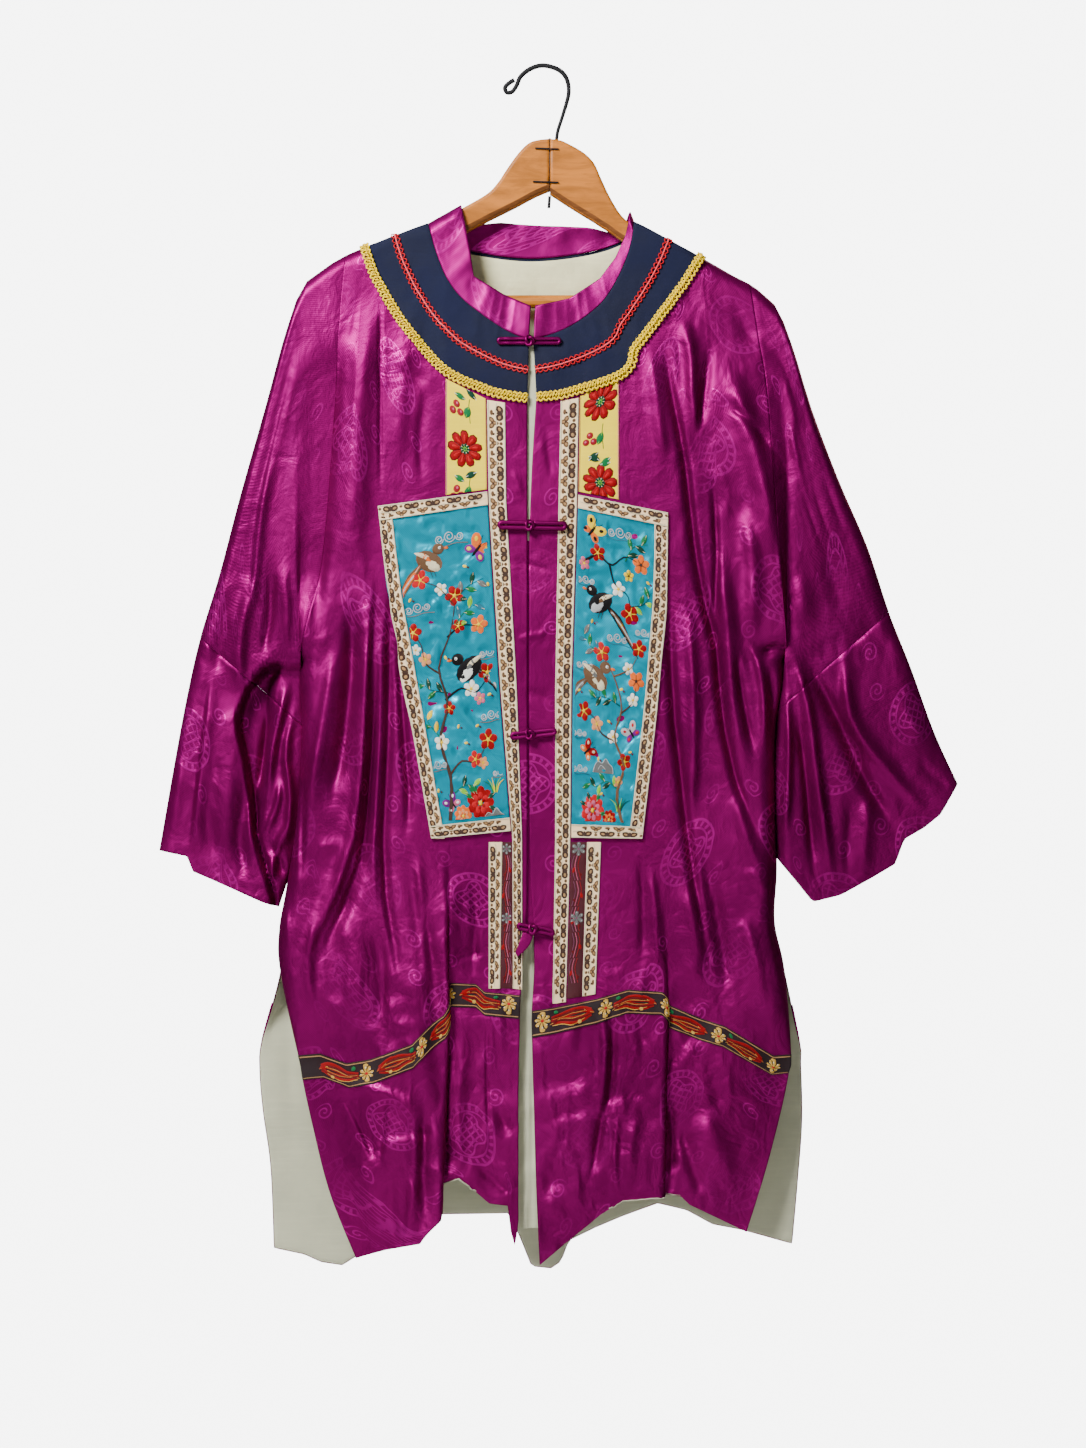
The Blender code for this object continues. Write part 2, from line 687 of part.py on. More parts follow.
def lie_on(tree, across, drop):
    hit = tree.ray_cast(Vector((across, -200.0, drop)), Vector((0.0, 1.0, 0.0)))
    if hit[0] is None:
        near = tree.find_nearest(Vector((across, -30.0, drop)))
        return near[0].y
    return hit[0].y


def section_points(table, step, columns):
    """Points between the two edges of a trim, a row every step down its length."""
    table = np.array(table, float)
    sections = [table[0]]
    for first, second in zip(table[:-1], table[1:]):
        count = max(1, int(round((second[0] - first[0]) / step)))
        sections += [first + (second - first) * (k + 1) / count for k in range(count)]
    rows = []
    for drop_in, across_in, drop_out, across_out in sections:
        row = []
        for k in range(columns):
            share = k / (columns - 1)
            row.append((across_in + (across_out - across_in) * share, drop_in + (drop_out - drop_in) * share))
        rows.append(row)
    return rows


# Start

for thing in list(bpy.data.objects):
    bpy.data.objects.remove(thing, do_unlink=True)

COLLECTION = bpy.data.collections.new("chinese_embroidered_jacket")
bpy.context.scene.collection.children.link(COLLECTION)

MATERIALS = {}
for label, (red, green, blue, roughness) in COLOURS.items():
    paint = bpy.data.materials.new(label)
    paint.use_nodes = True
    shader = paint.node_tree.nodes["Principled BSDF"]
    shader.inputs["Base Color"].default_value = (red, green, blue, 1.0)
    shader.inputs["Roughness"].default_value = roughness
    shader.inputs["Metallic"].default_value = 0.9 if label == "wire" else 0.0
    paint.diffuse_color = (red, green, blue, 1.0)
    MATERIALS[label] = paint

# Fronts

SEAM_SIDE = (0.0, 1.0, 0.0)
fronts = {}
front_trees = {}
for side in SIDES:
    sheet = front_sheet(side)
    fronts[side] = sheet
    front_trees[side] = sheet_tree(sheet)
back = back_sheet()

YOKE_COLUMNS = {}
for side in SIDES:
    limit = abs(YOKE_EDGE[side][-1][0]) + 0.5
    YOKE_COLUMNS[side] = sum(1 for p in fronts[side][0] if abs(p[0]) <= limit)


def armhole_direction(grid, column):
    """Across the armhole, level with the cloth, at each row."""
    edge = grid[:, column]
    run = np.gradient(edge, axis=0)
    flat = np.stack([run[:, 2], np.zeros(len(run)), -run[:, 0]], axis=1)
    return flat


def seam_rims(grid, side_column):
    """Rims of a sheet: at the armhole square to its line, below it in the plane of the side seam."""
    directions = armhole_direction(grid, side_column)
    directions[ARMHOLE_COUNT - 1:] = SEAM_SIDE
    return directions


for side in SIDES:
    sheet = fronts[side].copy()
    slit_index = [i for i, p in enumerate(ROWS) if p[0] + p[1] > SLIT_ROW[side]][0]
    directions = seam_rims(sheet, -1)
    for i in range(slit_index, len(ROWS)):
        directions[i] = (1.0, 0.0, 0.0)
    ridge_columns = sheet[0, :, 0] * (1 if side == "right" else -1) > abs(YOKE_EDGE[side][-1][0]) - 0.01
    top = np.where(ridge_columns[:, None], np.array([SEAM_SIDE]), np.array([[0.0, 0.0, 0.0]]))
    inner, normals = wall_inside(sheet, WALL, facing_back, rims=[((slice(None), -1), directions), ((0,), top)])
    shift = np.zeros_like(sheet)
    shift[0, ridge_columns, 1] -= SEAM_GAP / 2.0
    shift[ARMHOLE_COUNT - 1:slit_index, -1, 1] -= SEAM_GAP / 2.0
    sheet += shift
    inner += shift
    fronts[side + "_normals"] = -normals
    grid_solid("front_" + side, sheet, inner, "satin")

# Back

directions_left = seam_rims(back, 0)
directions_right = seam_rims(back, -1)
slit_index = [i for i, p in enumerate(ROWS) if p[0] + p[1] > 9.0][0]
directions_left[slit_index:] = (1.0, 0.0, 0.0)
directions_right[slit_index:] = (1.0, 0.0, 0.0)
ridge_back = np.logical_or(back[0, :, 0] <= YOKE_EDGE["left"][-1][0] + 0.01,
                           back[0, :, 0] >= YOKE_EDGE["right"][-1][0] - 0.01)
top = np.where(ridge_back[:, None], np.array([SEAM_SIDE]), np.array([[0.0, 0.0, 0.0]]))
back_inner, back_normals = wall_inside(
    back, WALL, facing_front,
    rims=[((slice(None), 0), directions_left), ((slice(None), -1), directions_right), ((0,), top)])
shift = np.zeros_like(back)
shift[0, ridge_back, 1] += SEAM_GAP / 2.0
shift[ARMHOLE_COUNT - 1:slit_index, 0, 1] += SEAM_GAP / 2.0
shift[ARMHOLE_COUNT - 1:slit_index, -1, 1] += SEAM_GAP / 2.0
grid_solid("back", back + shift, back_inner + shift, "satin")


# Sleeves

def armhole_loop(side):
    """The front and back points of the armhole, from the shoulder to the armpit."""
    front = fronts[side][:ARMHOLE_COUNT, -1]
    rear = back[:ARMHOLE_COUNT, 0 if side == "left" else -1]
    return front, rear


def sleeve_ring(side, place, shares, front0, rear0):
    """Points round a section: out along the front layer, home along the back layer."""
    row = table_row(SLEEVE_ROWS[side], place)
    k = place[0] + place[1]
    settle = ease(k / 3.0)
    last = len(SLEEVE_ROWS[side]) - 1
    length = math.hypot(row[2] - row[0], row[3] - row[1])
    hang = max(0.0, (k - SLEEVE_SEAM_ROW - 0.5) / (last - SLEEVE_SEAM_ROW - 0.5)) ** 1.5
    front, rear = [], []
    for i, share in enumerate(shares):
        straight = np.array([row[0] + (row[2] - row[0]) * share, row[1] + (row[3] - row[1]) * share])
        if k < 0.001:
            straight = np.array([front0[i][0], front0[i][2]])
        across, drop = straight
        drop += hang * np.interp(share, [c[0] for c in CUFF[side]], [c[1] for c in CUFF[side]])
        to_outer = share * length
        to_inner = (1.0 - share) * length
        lens = rounded(to_outer, 15.0) * rounded(to_inner, 15.0)
        swell = soft_folds(SLEEVE_FOLDS, across, drop)
        swell += soft_folds(FRONT_FOLDS, across, drop) * ease(1.0 - (k - 1.0) / 3.0)
        tuck = inner_tuck(across, drop) if side == "left" else 0.0
        depth = (SLEEVE_FRONT + swell - tuck) * lens
        y_front = -depth * settle + front0[i][1] * (1.0 - settle)
        y_rear = SLEEVE_BACK * lens * settle + rear0[i][1] * (1.0 - settle)
        front.append((across, y_front, drop))
        rear.append((across, y_rear, drop))
    return front + rear[-2:0:-1]


def inner_tuck(across, drop):
    """The left sleeve turns in along its inner fold: the layer behind it lies deeper."""
    if drop < 534.0:
        return 0.0
    fold = np.array(INNER_FOLD, float)
    edge = np.interp(drop, fold[:, 1], fold[:, 0])
    return 15.0 * ease((across - edge + 2.0) / 8.0) * ease((drop - 540.0) / 20.0)


def sleeve_sheet(side, places):
    front0, rear0 = armhole_loop(side)
    steps = np.linalg.norm(np.diff(front0[:, [0, 2]], axis=0), axis=1)
    shares = np.concatenate([[0.0], np.cumsum(steps)]) / steps.sum()
    return np.array([sleeve_ring(side, place, shares, front0, rear0) for place in places])


def ring_direction(ring):
    """Square to a section, level with the cloth."""
    half = len(ring) // 2
    run = ring[half] - ring[0]
    return np.array([run[2], 0.0, -run[0]])


def level_direction(ring):
    """Square to the section's own line at each of its points."""
    run = (np.roll(ring, -1, axis=0) - np.roll(ring, 1, axis=0))
    flat = np.stack([run[:, 2], np.zeros(len(ring)), -run[:, 0]], axis=1)
    weak = np.linalg.norm(flat, axis=1) < 1.5
    flat[weak] = ring_direction(ring)
    half = len(ring) // 2
    flat[0] = flat[1]
    flat[half] = flat[half - 1]
    return flat


def unit(vector):
    return vector / max(np.linalg.norm(vector), 1e-9)


for side in SIDES:
    sign = -1.0 if side == "left" else 1.0
    upper_places = [(k, 0.0) for k in range(SLEEVE_SEAM_ROW + 1)]
    lower_places = [(SLEEVE_SEAM_ROW, 0.0), (7, 0.0), (8, 0.0), (9, 0.0)]
    upper = sleeve_sheet(side, upper_places)
    lower = sleeve_sheet(side, lower_places)
    seam_direction = ring_direction(lower[0])
    if seam_direction[0] * sign < 0:
        seam_direction = -seam_direction
    inner, normals = wall_inside(upper, WALL, facing_middle, wrap=True,
                                 rims=[((0,), level_direction(upper[0])[None]),
                                       ((-1,), seam_direction)])
    upper_shift = np.zeros_like(upper)
    flat = level_direction(upper[0])
    flat *= np.sign(flat[:, :1] * sign + 1e-12)
    flat /= np.maximum(np.linalg.norm(flat, axis=1, keepdims=True), 1e-9)
    upper_shift[0] = flat * (SEAM_GAP + 0.05)
    grid_solid("sleeve_" + side, upper + upper_shift, inner + upper_shift, "satin", wrap=True)
    inner, normals = wall_inside(lower, WALL, facing_middle, wrap=True, rims=[((0,), seam_direction)])
    lower_shift = np.zeros_like(lower)
    lower_shift[0] = unit(seam_direction) * SEAM_GAP
    grid_solid("sleeve_" + side + "_end", lower + lower_shift, inner + lower_shift, "satin", wrap=True)

# Yoke band and collar

def behind_neck():
    """Columns of the back that end at the yoke."""
    left, right = YOKE_EDGE["left"][-1][0] + 0.5, YOKE_EDGE["right"][-1][0] - 0.5
    return [j for j, p in enumerate(back[0]) if left < p[0] < right]


def neck_loop():
    """Yoke edge, neck seam and collar top at the same stations, from the left front round the back."""
    edge, seam, top, kinds = [], [], [], []
    count_left, count_right = YOKE_COLUMNS["left"], YOKE_COLUMNS["right"]
    left_edge = fronts["left"][0, :count_left]
    right_edge = fronts["right"][0, :count_right][::-1]
    rear_edge = back[0, behind_neck()]
    for points, which in ((left_edge, "left"), (rear_edge, "back"), (right_edge, "right")):
        line = points
        if which == "back":
            line = np.vstack([left_edge[-1], points, right_edge[0]])
        steps = np.concatenate([[0.0], np.cumsum(np.linalg.norm(np.diff(line[:, [0, 2]], axis=0), axis=1))])
        shares = steps / steps[-1]
        if which == "back":
            shares = shares[1:-1]
        if which == "right":
            shares = 1.0 - shares
        for point, share in zip(points, shares):
            s = along_curve(NECK_SEAM[which], share)
            t = along_curve(COLLAR_TOP[which], share)
            edge.append(point)
            seam.append((s[0], neck_depth(s, which, share), s[1]))
            top.append((t[0], neck_depth(s, which, share) * 0.86, t[1]))
            kinds.append(which)
    return np.array(edge), np.array(seam), np.array(top), kinds


def body_normals():
    """Outward normals of the fronts and the back along the yoke's edge."""
    left = fronts["left_normals"][0, :YOKE_COLUMNS["left"]]
    right = fronts["right_normals"][0, :YOKE_COLUMNS["right"]][::-1]
    return np.vstack([left, -back_normals[0, behind_neck()], right])


def neck_depth(point, which, share):
    if which == "back":
        if min(share, 1.0 - share) < 0.001:
            return 0.0
        return back_depth(point[0], point[1])
    if share > 0.999:
        return 0.0
    return -front_depth(point[0], point[1])


edge, seam, top, kinds = neck_loop()
YOKE_SHARES = (0.0, 0.26, RED_BRAID, 1.0)
yoke = np.zeros((len(YOKE_SHARES), len(edge), 3))
for i, share in enumerate(YOKE_SHARES):
    for j in range(len(edge)):
        point = seam[j] + (edge[j] - seam[j]) * share
        if 0.0 < share < 1.0 and abs(edge[j][1]) > 0.01:
            across, drop = point[0], point[2]
            point[1] = back_depth(across, drop) if kinds[j] == "back" else -front_depth(across, drop)
        yoke[i, j] = point
fold_line = np.array([unit(unit(edge[j] - seam[j]) + unit(seam[j] - top[j])) for j in range(len(edge))])
edge_line = np.array([unit(edge[j] - yoke[-2, j]) for j in range(len(edge))])


def facing_neck(outer, normals):
    centre = np.array([-11.0, 3.0, 190.0])
    return float(np.sum((centre - outer) * normals * np.array([0.0, 1.0, 0.0])))


yoke_inner, yoke_normals = wall_inside(yoke, WALL, facing_neck, rims=[((0,), fold_line)])
yoke_shift = np.zeros_like(yoke)
yoke_shift[-1] = -edge_line * (SEAM_GAP + 0.1)
grid_solid("yoke_band", yoke + yoke_shift, yoke_inner + yoke_shift, "navy")

COLLAR_SHARES = (0.0, 0.5, 1.0)
collar = np.array([seam + (top - seam) * share for share in COLLAR_SHARES])
collar[1, :, 1] *= 1.03
collar_inner, collar_normals = wall_inside(collar, WALL + 0.3, facing_neck, rims=[((0,), fold_line)])
collar_shift = np.zeros_like(collar)
collar_shift[0] = -fold_line * (SEAM_GAP + 0.1)
grid_solid("stand_collar", collar + collar_shift, collar_inner + collar_shift, "satin")

# Braids on the yoke band

red_path = yoke[2] - yoke_normals[2] * (0.5 + 1.0)
tube_along("red_braid", red_path, BRAID_WIDTH, 2.0, "red", sides=4, normals=-yoke_normals[2])
gimp_normals = np.array([unit(a - b) for a, b in zip(body_normals(), yoke_normals[-1])])
gimp_lift = 1.98 + 1.9 * np.exp(-(edge[:, 1:2] / 14.0) ** 2)
gimp_path = yoke[-1] + yoke_shift[-1] + gimp_normals * gimp_lift
tube_along("yellow_braid", gimp_path, GIMP_WIDTH, 2.4, "yellow", sides=4, normals=gimp_normals)

# Trims on the fronts

def masked_solid(name, grid, low, high, cells, colour):
    """A closed wall over some of a grid's cells."""
    rows, columns = grid.shape[:2]
    count = rows * columns
    points = [to_scene(p) for p in high.reshape(-1, 3)] + [to_scene(p) for p in low.reshape(-1, 3)]
    faces, edges = [], {}
    for i, j in cells:
        loop = (i * columns + j, i * columns + j + 1, (i + 1) * columns + j + 1, (i + 1) * columns + j)
        faces.append(loop)
        faces.append(tuple(v + count for v in reversed(loop)))
        for a, b in zip(loop, loop[1:] + loop[:1]):
            edges[(a, b)] = edges.get((a, b), 0) + 1
    for a, b in edges:
        if (b, a) not in edges:
            faces.append((b, a, a + count, b + count))
    used = sorted({v for face in faces for v in face})
    index = {v: n for n, v in enumerate(used)}
    return make_object(name, [points[v] for v in used], [tuple(index[v] for v in f) for f in faces], colour)


def lifted(under, gap, thickness):
    normals = grid_normals(under, False)
    if facing_front(under, normals) < 0:
        normals = -normals
    return under + normals * gap, under + normals * (gap + thickness)


for side in SIDES:
    tree = front_trees[side]
    strip_solid("front_tape_" + side, section_points(FRONT_TAPE[side], 28.0, 2), "cream", tree)
    strip_solid("flower_ribbon_" + side, section_points(FLOWER_RIBBON[side], 22.0, 5), "flower", tree)
    strip_solid("lower_tape_" + side, section_points(LOWER_TAPE[side], 22.0, 2), "cream", tree)
    strip_solid("brocade_strip_" + side, section_points(BROCADE_STRIP[side], 22.0, 2), "brocade", tree)
    table = np.array(PANEL[side], float)
    top_drop, low_drop = table[0, 0], table[-1, 0]
    band = BORDER_WIDTH / (low_drop - top_drop)
    downs = [0.0, band] + [band + (1.0 - 2.0 * band) * k / 9 for k in range(1, 9)] + [1.0 - band, 1.0]
    under = np.zeros((len(downs), 8, 3))
    for i, down in enumerate(downs):
        drop_in = top_drop + (low_drop - top_drop) * down
        values = [np.interp(drop_in, table[:, 0], table[:, k]) for k in range(4)]
        width = abs(values[3] - values[1])
        shares = [0.0] + [(1.0 - BORDER_WIDTH / width) * k / 6 for k in range(1, 7)] + [1.0]
        for j, share in enumerate(shares):
            across = values[1] + (values[3] - values[1]) * share
            drop = drop_in + (values[2] - values[0]) * share
            under[i, j] = (across, lie_on(tree, across, drop), drop)
    low, high = lifted(under, TRIM_GAP, TRIM_WALL * 0.8)
    cells = [(i, j) for i in range(len(downs) - 1) for j in range(7)]
    masked_solid("panel_" + side, under, low, high, cells, "turquoise")
    low, high = lifted(under, TRIM_GAP + TRIM_WALL * 0.8 + SEAM_GAP + 0.05, TRIM_WALL * 0.8)
    border = [(i, j) for i, j in cells if i in (0, len(downs) - 2) or j == 6]
    masked_solid("panel_border_" + side, under, low, high, border, "cream")
    sheet = fronts[side]
    first = [i for i, p in enumerate(ROWS) if p[0] == BAND_TOP_ROW][0]
    sheet_normals = grid_normals(sheet, False)
    if facing_front(sheet, sheet_normals) < 0:
        sheet_normals = -sheet_normals
    rows = slice(first, first + 2)
    grid_solid("hem_band_" + side, sheet[rows] + sheet_normals[rows] * (SEAM_GAP + 0.9),
               sheet[rows] + sheet_normals[rows] * (SEAM_GAP + 0.02), "black_ribbon")

# Frogs

def frog_half(name, start, end, drop, end_drop, height, lift, knot):
    """A bar, thicker at its middle, with a knot at the near end when it has one."""
    # share of the length, width and thickness as shares of the bar's, rise of the knot
    stations = [(0.0, 0.55, 0.0), (0.08, 0.9, 0.0), (0.45, 0.8, 0.0), (0.9, 0.85, 0.0), (1.0, 0.6, 0.0)]
    if knot:
        stations = [(0.0, 0.55, 0.0), (0.08, 0.9, 0.0), (0.45, 0.8, 0.0), (0.74, 0.62, 0.3), (0.83, 1.1, 0.8),
                    (0.91, 1.3, 1.0), (0.98, 1.0, 0.9), (1.0, 0.5, 0.8)]
    verts, sides = [], 6
    for share, swell, rise in stations:
        across = start + (end - start) * share
        level = drop + (end_drop - drop) * share
        thick = 2.15 * swell * (1.0 + 0.25 * rise)
        depth = -front_depth(across, level) - max(lift, SEAM_GAP + 0.1 + thick)
        for k in range(sides):
            turn = 2.0 * math.pi * (k + 0.5) / sides
            verts.append(to_scene((across, depth - math.sin(turn) * thick,
                                   level + math.cos(turn) * height / 2.0 * swell)))
    faces = []
    for i in range(len(stations) - 1):
        for k in range(sides):
            a, b = i * sides + k, i * sides + (k + 1) % sides
            faces.append((a, b, b + sides, a + sides))
    faces.append(tuple(range(sides)))
    faces.append(tuple((len(stations) - 1) * sides + k for k in range(sides)))
    make_object(name, verts, faces, "frog")


for number, (left_end, knot, right_end, left_drop, right_drop, height) in enumerate(FROGS, 1):
    middle = left_drop + (right_drop - left_drop) * (knot - left_end) / (right_end - left_end)
    lift = 2.4 if number == 1 else 4.05
    frog_half("frog_%d_knot" % number, left_end, knot + 4.0, left_drop, middle, height, lift, True)
    frog_half("frog_%d_loop" % number, right_end, knot + 4.35, right_drop, middle, height, lift, False)

# Lining where it shows

neck_rows = []
for down in (0.0, 0.15, 0.4, 0.7, 1.0):
    row = []
    for k in range(9):
        across = -96.0 + 170.0 * k / 8
        first = read_curve(NECK_SEAM["back"], across) + 5.0
        drop = first + (345.0 - first) * down
        row.append((across, back_depth(across, drop) - WALL - 0.9, drop))
    neck_rows.append(row)
neck_lining = np.array(neck_rows)
neck_low, normals = wall_inside(neck_lining, LINING_WALL, facing_front)
grid_solid("neck_lining", neck_lining, neck_low, "lining")

slit_start = [i for i, p in enumerate(ROWS) if p[0] == 9][0]
skirt_normals = back_normals[slit_start:, 1:-1]
skirt = back_inner[slit_start:, 1:-1] + skirt_normals * (SEAM_GAP + 0.05)
skirt[-1] += (skirt[-2] - skirt[-1]) * 0.05
grid_solid("skirt_lining", skirt, skirt + skirt_normals * LINING_WALL, "lining")

# Hanger

def curve_object(name, points, colour, depth, resolution, extrude=0.0, flat=False):
    """A curve through points in the plane of the hanger: a wire, or a flat outline when flat is set."""
    curve = bpy.data.curves.new(name, "CURVE")
    curve.dimensions = "2D" if flat else "3D"
    curve.fill_mode = "BOTH" if flat else "FULL"
    spline = curve.splines.new("POLY")
    spline.points.add(len(points) - 1)
    for corner, (across, depth_off, drop) in zip(spline.points, points):
        corner.co = (across / 1000.0, -drop / 1000.0, -depth_off / 1000.0, 1.0)
    spline.use_cyclic_u = flat
    curve.extrude = extrude / 1000.0
    curve.bevel_depth = depth / 1000.0
    curve.bevel_resolution = resolution
    curve.offset = -depth / 1000.0 if flat else 0.0
    curve.use_fill_caps = not flat
    curve.materials.append(MATERIALS[colour])
    thing = bpy.data.objects.new(name, curve)
    thing.rotation_euler = (math.radians(90.0), 0.0, 0.0)
    COLLECTION.objects.link(thing)
    return thing


def arm(name, stations):
    """A board cut to an outline, its edges rounded off."""
    tops = [(across, 0.0, high) for across, high, low in stations]
    lows = [(across, 0.0, low) for across, high, low in reversed(stations)]
    curve_object(name, tops + lows, "wood", WOOD_EDGE, 0, WOOD_THICKNESS / 2.0 - WOOD_EDGE, flat=True)


arm("hanger_arm_left", ARM_LEFT)
arm("hanger_arm_right", ARM_RIGHT)

bar = bpy.data.meshes.new("trouser_bar")
solid = bmesh.new()
bar_left, bar_right = BAR_ENDS
bmesh.ops.create_cone(solid, cap_ends=True, segments=12, radius1=BAR_DIAMETER / 2000.0,
                      radius2=BAR_DIAMETER / 2000.0, depth=(bar_right - bar_left) / 1000.0)
for corner in solid.verts:
    up = corner.co.x
    lean = BAR_LEAN["left"] if corner.co.z < 0.0 else BAR_LEAN["right"]
    corner.co.z += up * lean
solid.to_mesh(bar)
solid.free()
bar.materials.append(MATERIALS["wood"])
bar.shade_smooth()
bar.set_sharp_from_angle(angle=math.radians(50))
thing = bpy.data.objects.new("trouser_bar", bar)
thing.rotation_euler = (0.0, math.radians(90.0), 0.0)
thing.location = to_scene(((bar_left + bar_right) / 2.0, 0.0, BAR_DROP))
COLLECTION.objects.link(thing)

path = np.array([(x, 0.0, d) for x, d in HOOK_PATH], float)
dense = []
for i in range(len(path) - 1):
    a, b = path[max(i - 1, 0)], path[i]
    c, d = path[i + 1], path[min(i + 2, len(path) - 1)]
    for t in (0.0, 0.5):
        dense.append(0.5 * (2 * b + (c - a) * t + (2 * a - 5 * b + 4 * c - d) * t ** 2
                            + (3 * b - a - 3 * c + d) * t ** 3))
dense.append(path[-1])
curve_object("hook", dense, "wire", WIRE_DIAMETER / 2.0, 2)
curve_object("hook_end", [(6.0, 0, 116.2), (5.7, 0, 121.0), (5.2, 0, 127.0)], "wire", 1.4, 2)
for number, (start, end, drop) in enumerate(((-7.0, 14.0, 74.0), (-9.0, 14.0, 104.0)), 1):
    level = -WOOD_THICKNESS / 2.0 - SEAM_GAP - STAPLE_DIAMETER / 2.0
    curve_object("staple_%d" % number, [(start, level, drop), (end, level, drop + 0.8)], "wire",
                 STAPLE_DIAMETER / 2.0, 2)
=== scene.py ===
import math

import bpy
import numpy as np
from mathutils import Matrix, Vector


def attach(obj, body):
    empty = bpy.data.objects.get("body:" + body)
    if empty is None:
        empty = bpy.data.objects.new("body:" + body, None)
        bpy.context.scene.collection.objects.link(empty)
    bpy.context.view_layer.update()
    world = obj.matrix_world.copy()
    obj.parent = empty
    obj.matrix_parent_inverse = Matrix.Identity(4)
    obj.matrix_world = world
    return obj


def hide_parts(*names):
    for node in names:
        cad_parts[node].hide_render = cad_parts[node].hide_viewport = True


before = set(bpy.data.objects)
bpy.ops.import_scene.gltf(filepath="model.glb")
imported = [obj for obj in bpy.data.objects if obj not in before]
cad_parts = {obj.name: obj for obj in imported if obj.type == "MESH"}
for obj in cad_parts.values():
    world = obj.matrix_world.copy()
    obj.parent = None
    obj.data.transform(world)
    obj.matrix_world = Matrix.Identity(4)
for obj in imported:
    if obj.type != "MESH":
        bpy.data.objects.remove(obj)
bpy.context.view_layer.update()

# Sizes are in millimetres until a mesh is made. Points are (across, depth, drop): across to the right
# in the photo, depth towards the wall, drop below the hang point. Rows of a cloth are numbered from its top.

# Cloth
WALL = 1.3
PIXEL = 0.9
SIDES = ("left", "right")
OUT = {"left": -1.0, "right": 1.0}
RIDGE_RADIUS, SHOULDER_FRONT, CHEST_FRONT, HEM_FRONT = 13.0, 15.5, 27.0, 33.0
SHOULDER_BACK, BACK_DEPTH, SIDE_RADIUS = 13.5, 21.0, 17.0
SLEEVE_FRONT, SLEEVE_BACK, SLEEVE_RADIUS = 17.0, 15.0, 15.0
SLIT_FRONT, SLIT_BACK, SLIT_REACH = 14.0, 17.0, 40.0
ARMPIT, SEAM_ROW, CUFF_ROW = 4, 6, 9
BAND_RISE_ROW, SLIT_ROW, BAND_TOP_ROW, BAND_LOW_ROW, HEM_ROW = 6, 9, 10, 11, 14
ARMPIT_DROP, BACK_YOKE_DROP = 535.0, 222.0
SEAM_GAP = 0.5
FRONT_STEP, BACK_STEP, SLEEVE_STEP = 4.0, 5.4, 3.0
FRONT_COLUMNS, BACK_COLUMNS, SLEEVE_COLUMNS = 128, 132, 84
# where a depth or a crease starts to grow, and over how many mm it does
CHEST_RISE, HEM_RISE, SKIRT_RISE = (8.0, 160.0), (700.0, 300.0), (760.0, 120.0)
FRONT_CREASED, BACK_CREASED = (14.0, 50.0), (10.0, 70.0)
# height, drop where it starts and lean of the pleat beside each front tape
PLEAT = {"left": (14.0, 690.0, 5.0), "right": (-9.0, 740.0, 4.0)}
PLEAT_GROWS, PLEAT_FAR = 150.0, 60.0
FOLD_GAIN, FOLD_SPANS, FOLD_FADE = 1.3, 8, 0.3
LAYERS, LATTICE_CELLS = 8, 64
LATTICE = np.random.RandomState(7).rand(LAYERS, LATTICE_CELLS, LATTICE_CELLS)
BORDER, HEM_BAND_HEIGHT, HEM_PITCH = 12.0, 19.0, 58.0
RIDGE = [(-400, 340), (-211, 190), (-188, 175), (-160, 162), (-104, 141), (81, 138), (142, 171), (170, 187),
         (194, 200), (212, 217), (400, 380)]
YOKE_EDGE = {
    "left": [(-14, 300), (-34, 297), (-52, 292), (-89, 274), (-124, 234), (-150, 191), (-160, 162)],
    "right": [(-6, 299), (15, 297), (33, 292), (50, 287), (69, 279.5), (79, 269.5), (81.5, 257), (92, 243),
              (110, 219), (128, 194), (142, 171)],
}
NECK_SEAM = {
    "left": [(-12.5, 248), (-34, 239), (-69, 214), (-86, 193), (-97, 166), (-104, 141)],
    "right": [(-8.5, 248), (22, 237), (51, 216), (68, 190), (78, 164), (82, 139)],
    "back": [(-104, 141), (-95, 156), (-57, 166), (-11, 171), (38, 166), (72, 155), (82, 139)],
}
COLLAR_TOP = {
    "left": [(-11, 217), (-36, 206), (-62, 190), (-65, 170), (-69, 148), (-74, 124)],
    "right": [(-7, 217), (24, 210), (51, 192), (65, 173), (74, 153), (79, 131)],
    "back": [(-74, 124), (-68, 140), (-39, 139), (-11, 141), (38, 143), (66, 147), (79, 131)],
}
# centre across, centre drop, pleat across, side across, side drop
FRONT_ROWS = {
    "left": [(-14, 300, -82, -178, 170), (-14, 365, -84, -184, 238), (-14, 430, -86, -188, 319),
             (-13.8, 485, -87, -199, 445), (-13.8, 535, -88, -219, 535), (-13.8, 598, -88, -218, 598),
             (-13.8, 670, -87, -222, 670), (-14, 728, -87, -231, 737), (-15, 768, -87, -238, 778),
             (-18, 803, -88, -237, 815), (-20, 834, -88, -220, 890), (-21, 855, -88, -216, 912),
             (-22, 920, -90, -208, 949), (-22, 980, -92, -192, 1012), (-22, 1037, -93.5, -168, 1072)],
    "right": [(-6, 299, 96, 186, 195), (-10, 364, 99, 194, 247), (-12.4, 430, 102, 202, 301),
              (-12.6, 485, 104, 211, 430), (-12.8, 535, 105, 219, 535), (-12.6, 598, 106, 211, 598),
              (-12.2, 670, 107, 210, 665), (-11.5, 728, 107, 211, 724), (-9, 768, 107, 209, 770),
              (-8, 810, 108, 218, 815), (-10, 849, 109, 223, 889), (-10, 873, 109, 221, 906),
              (-8, 940, 107, 214, 940), (-6, 1010, 106, 200, 994), (-3, 1076, 105, 183, 1049)],
}
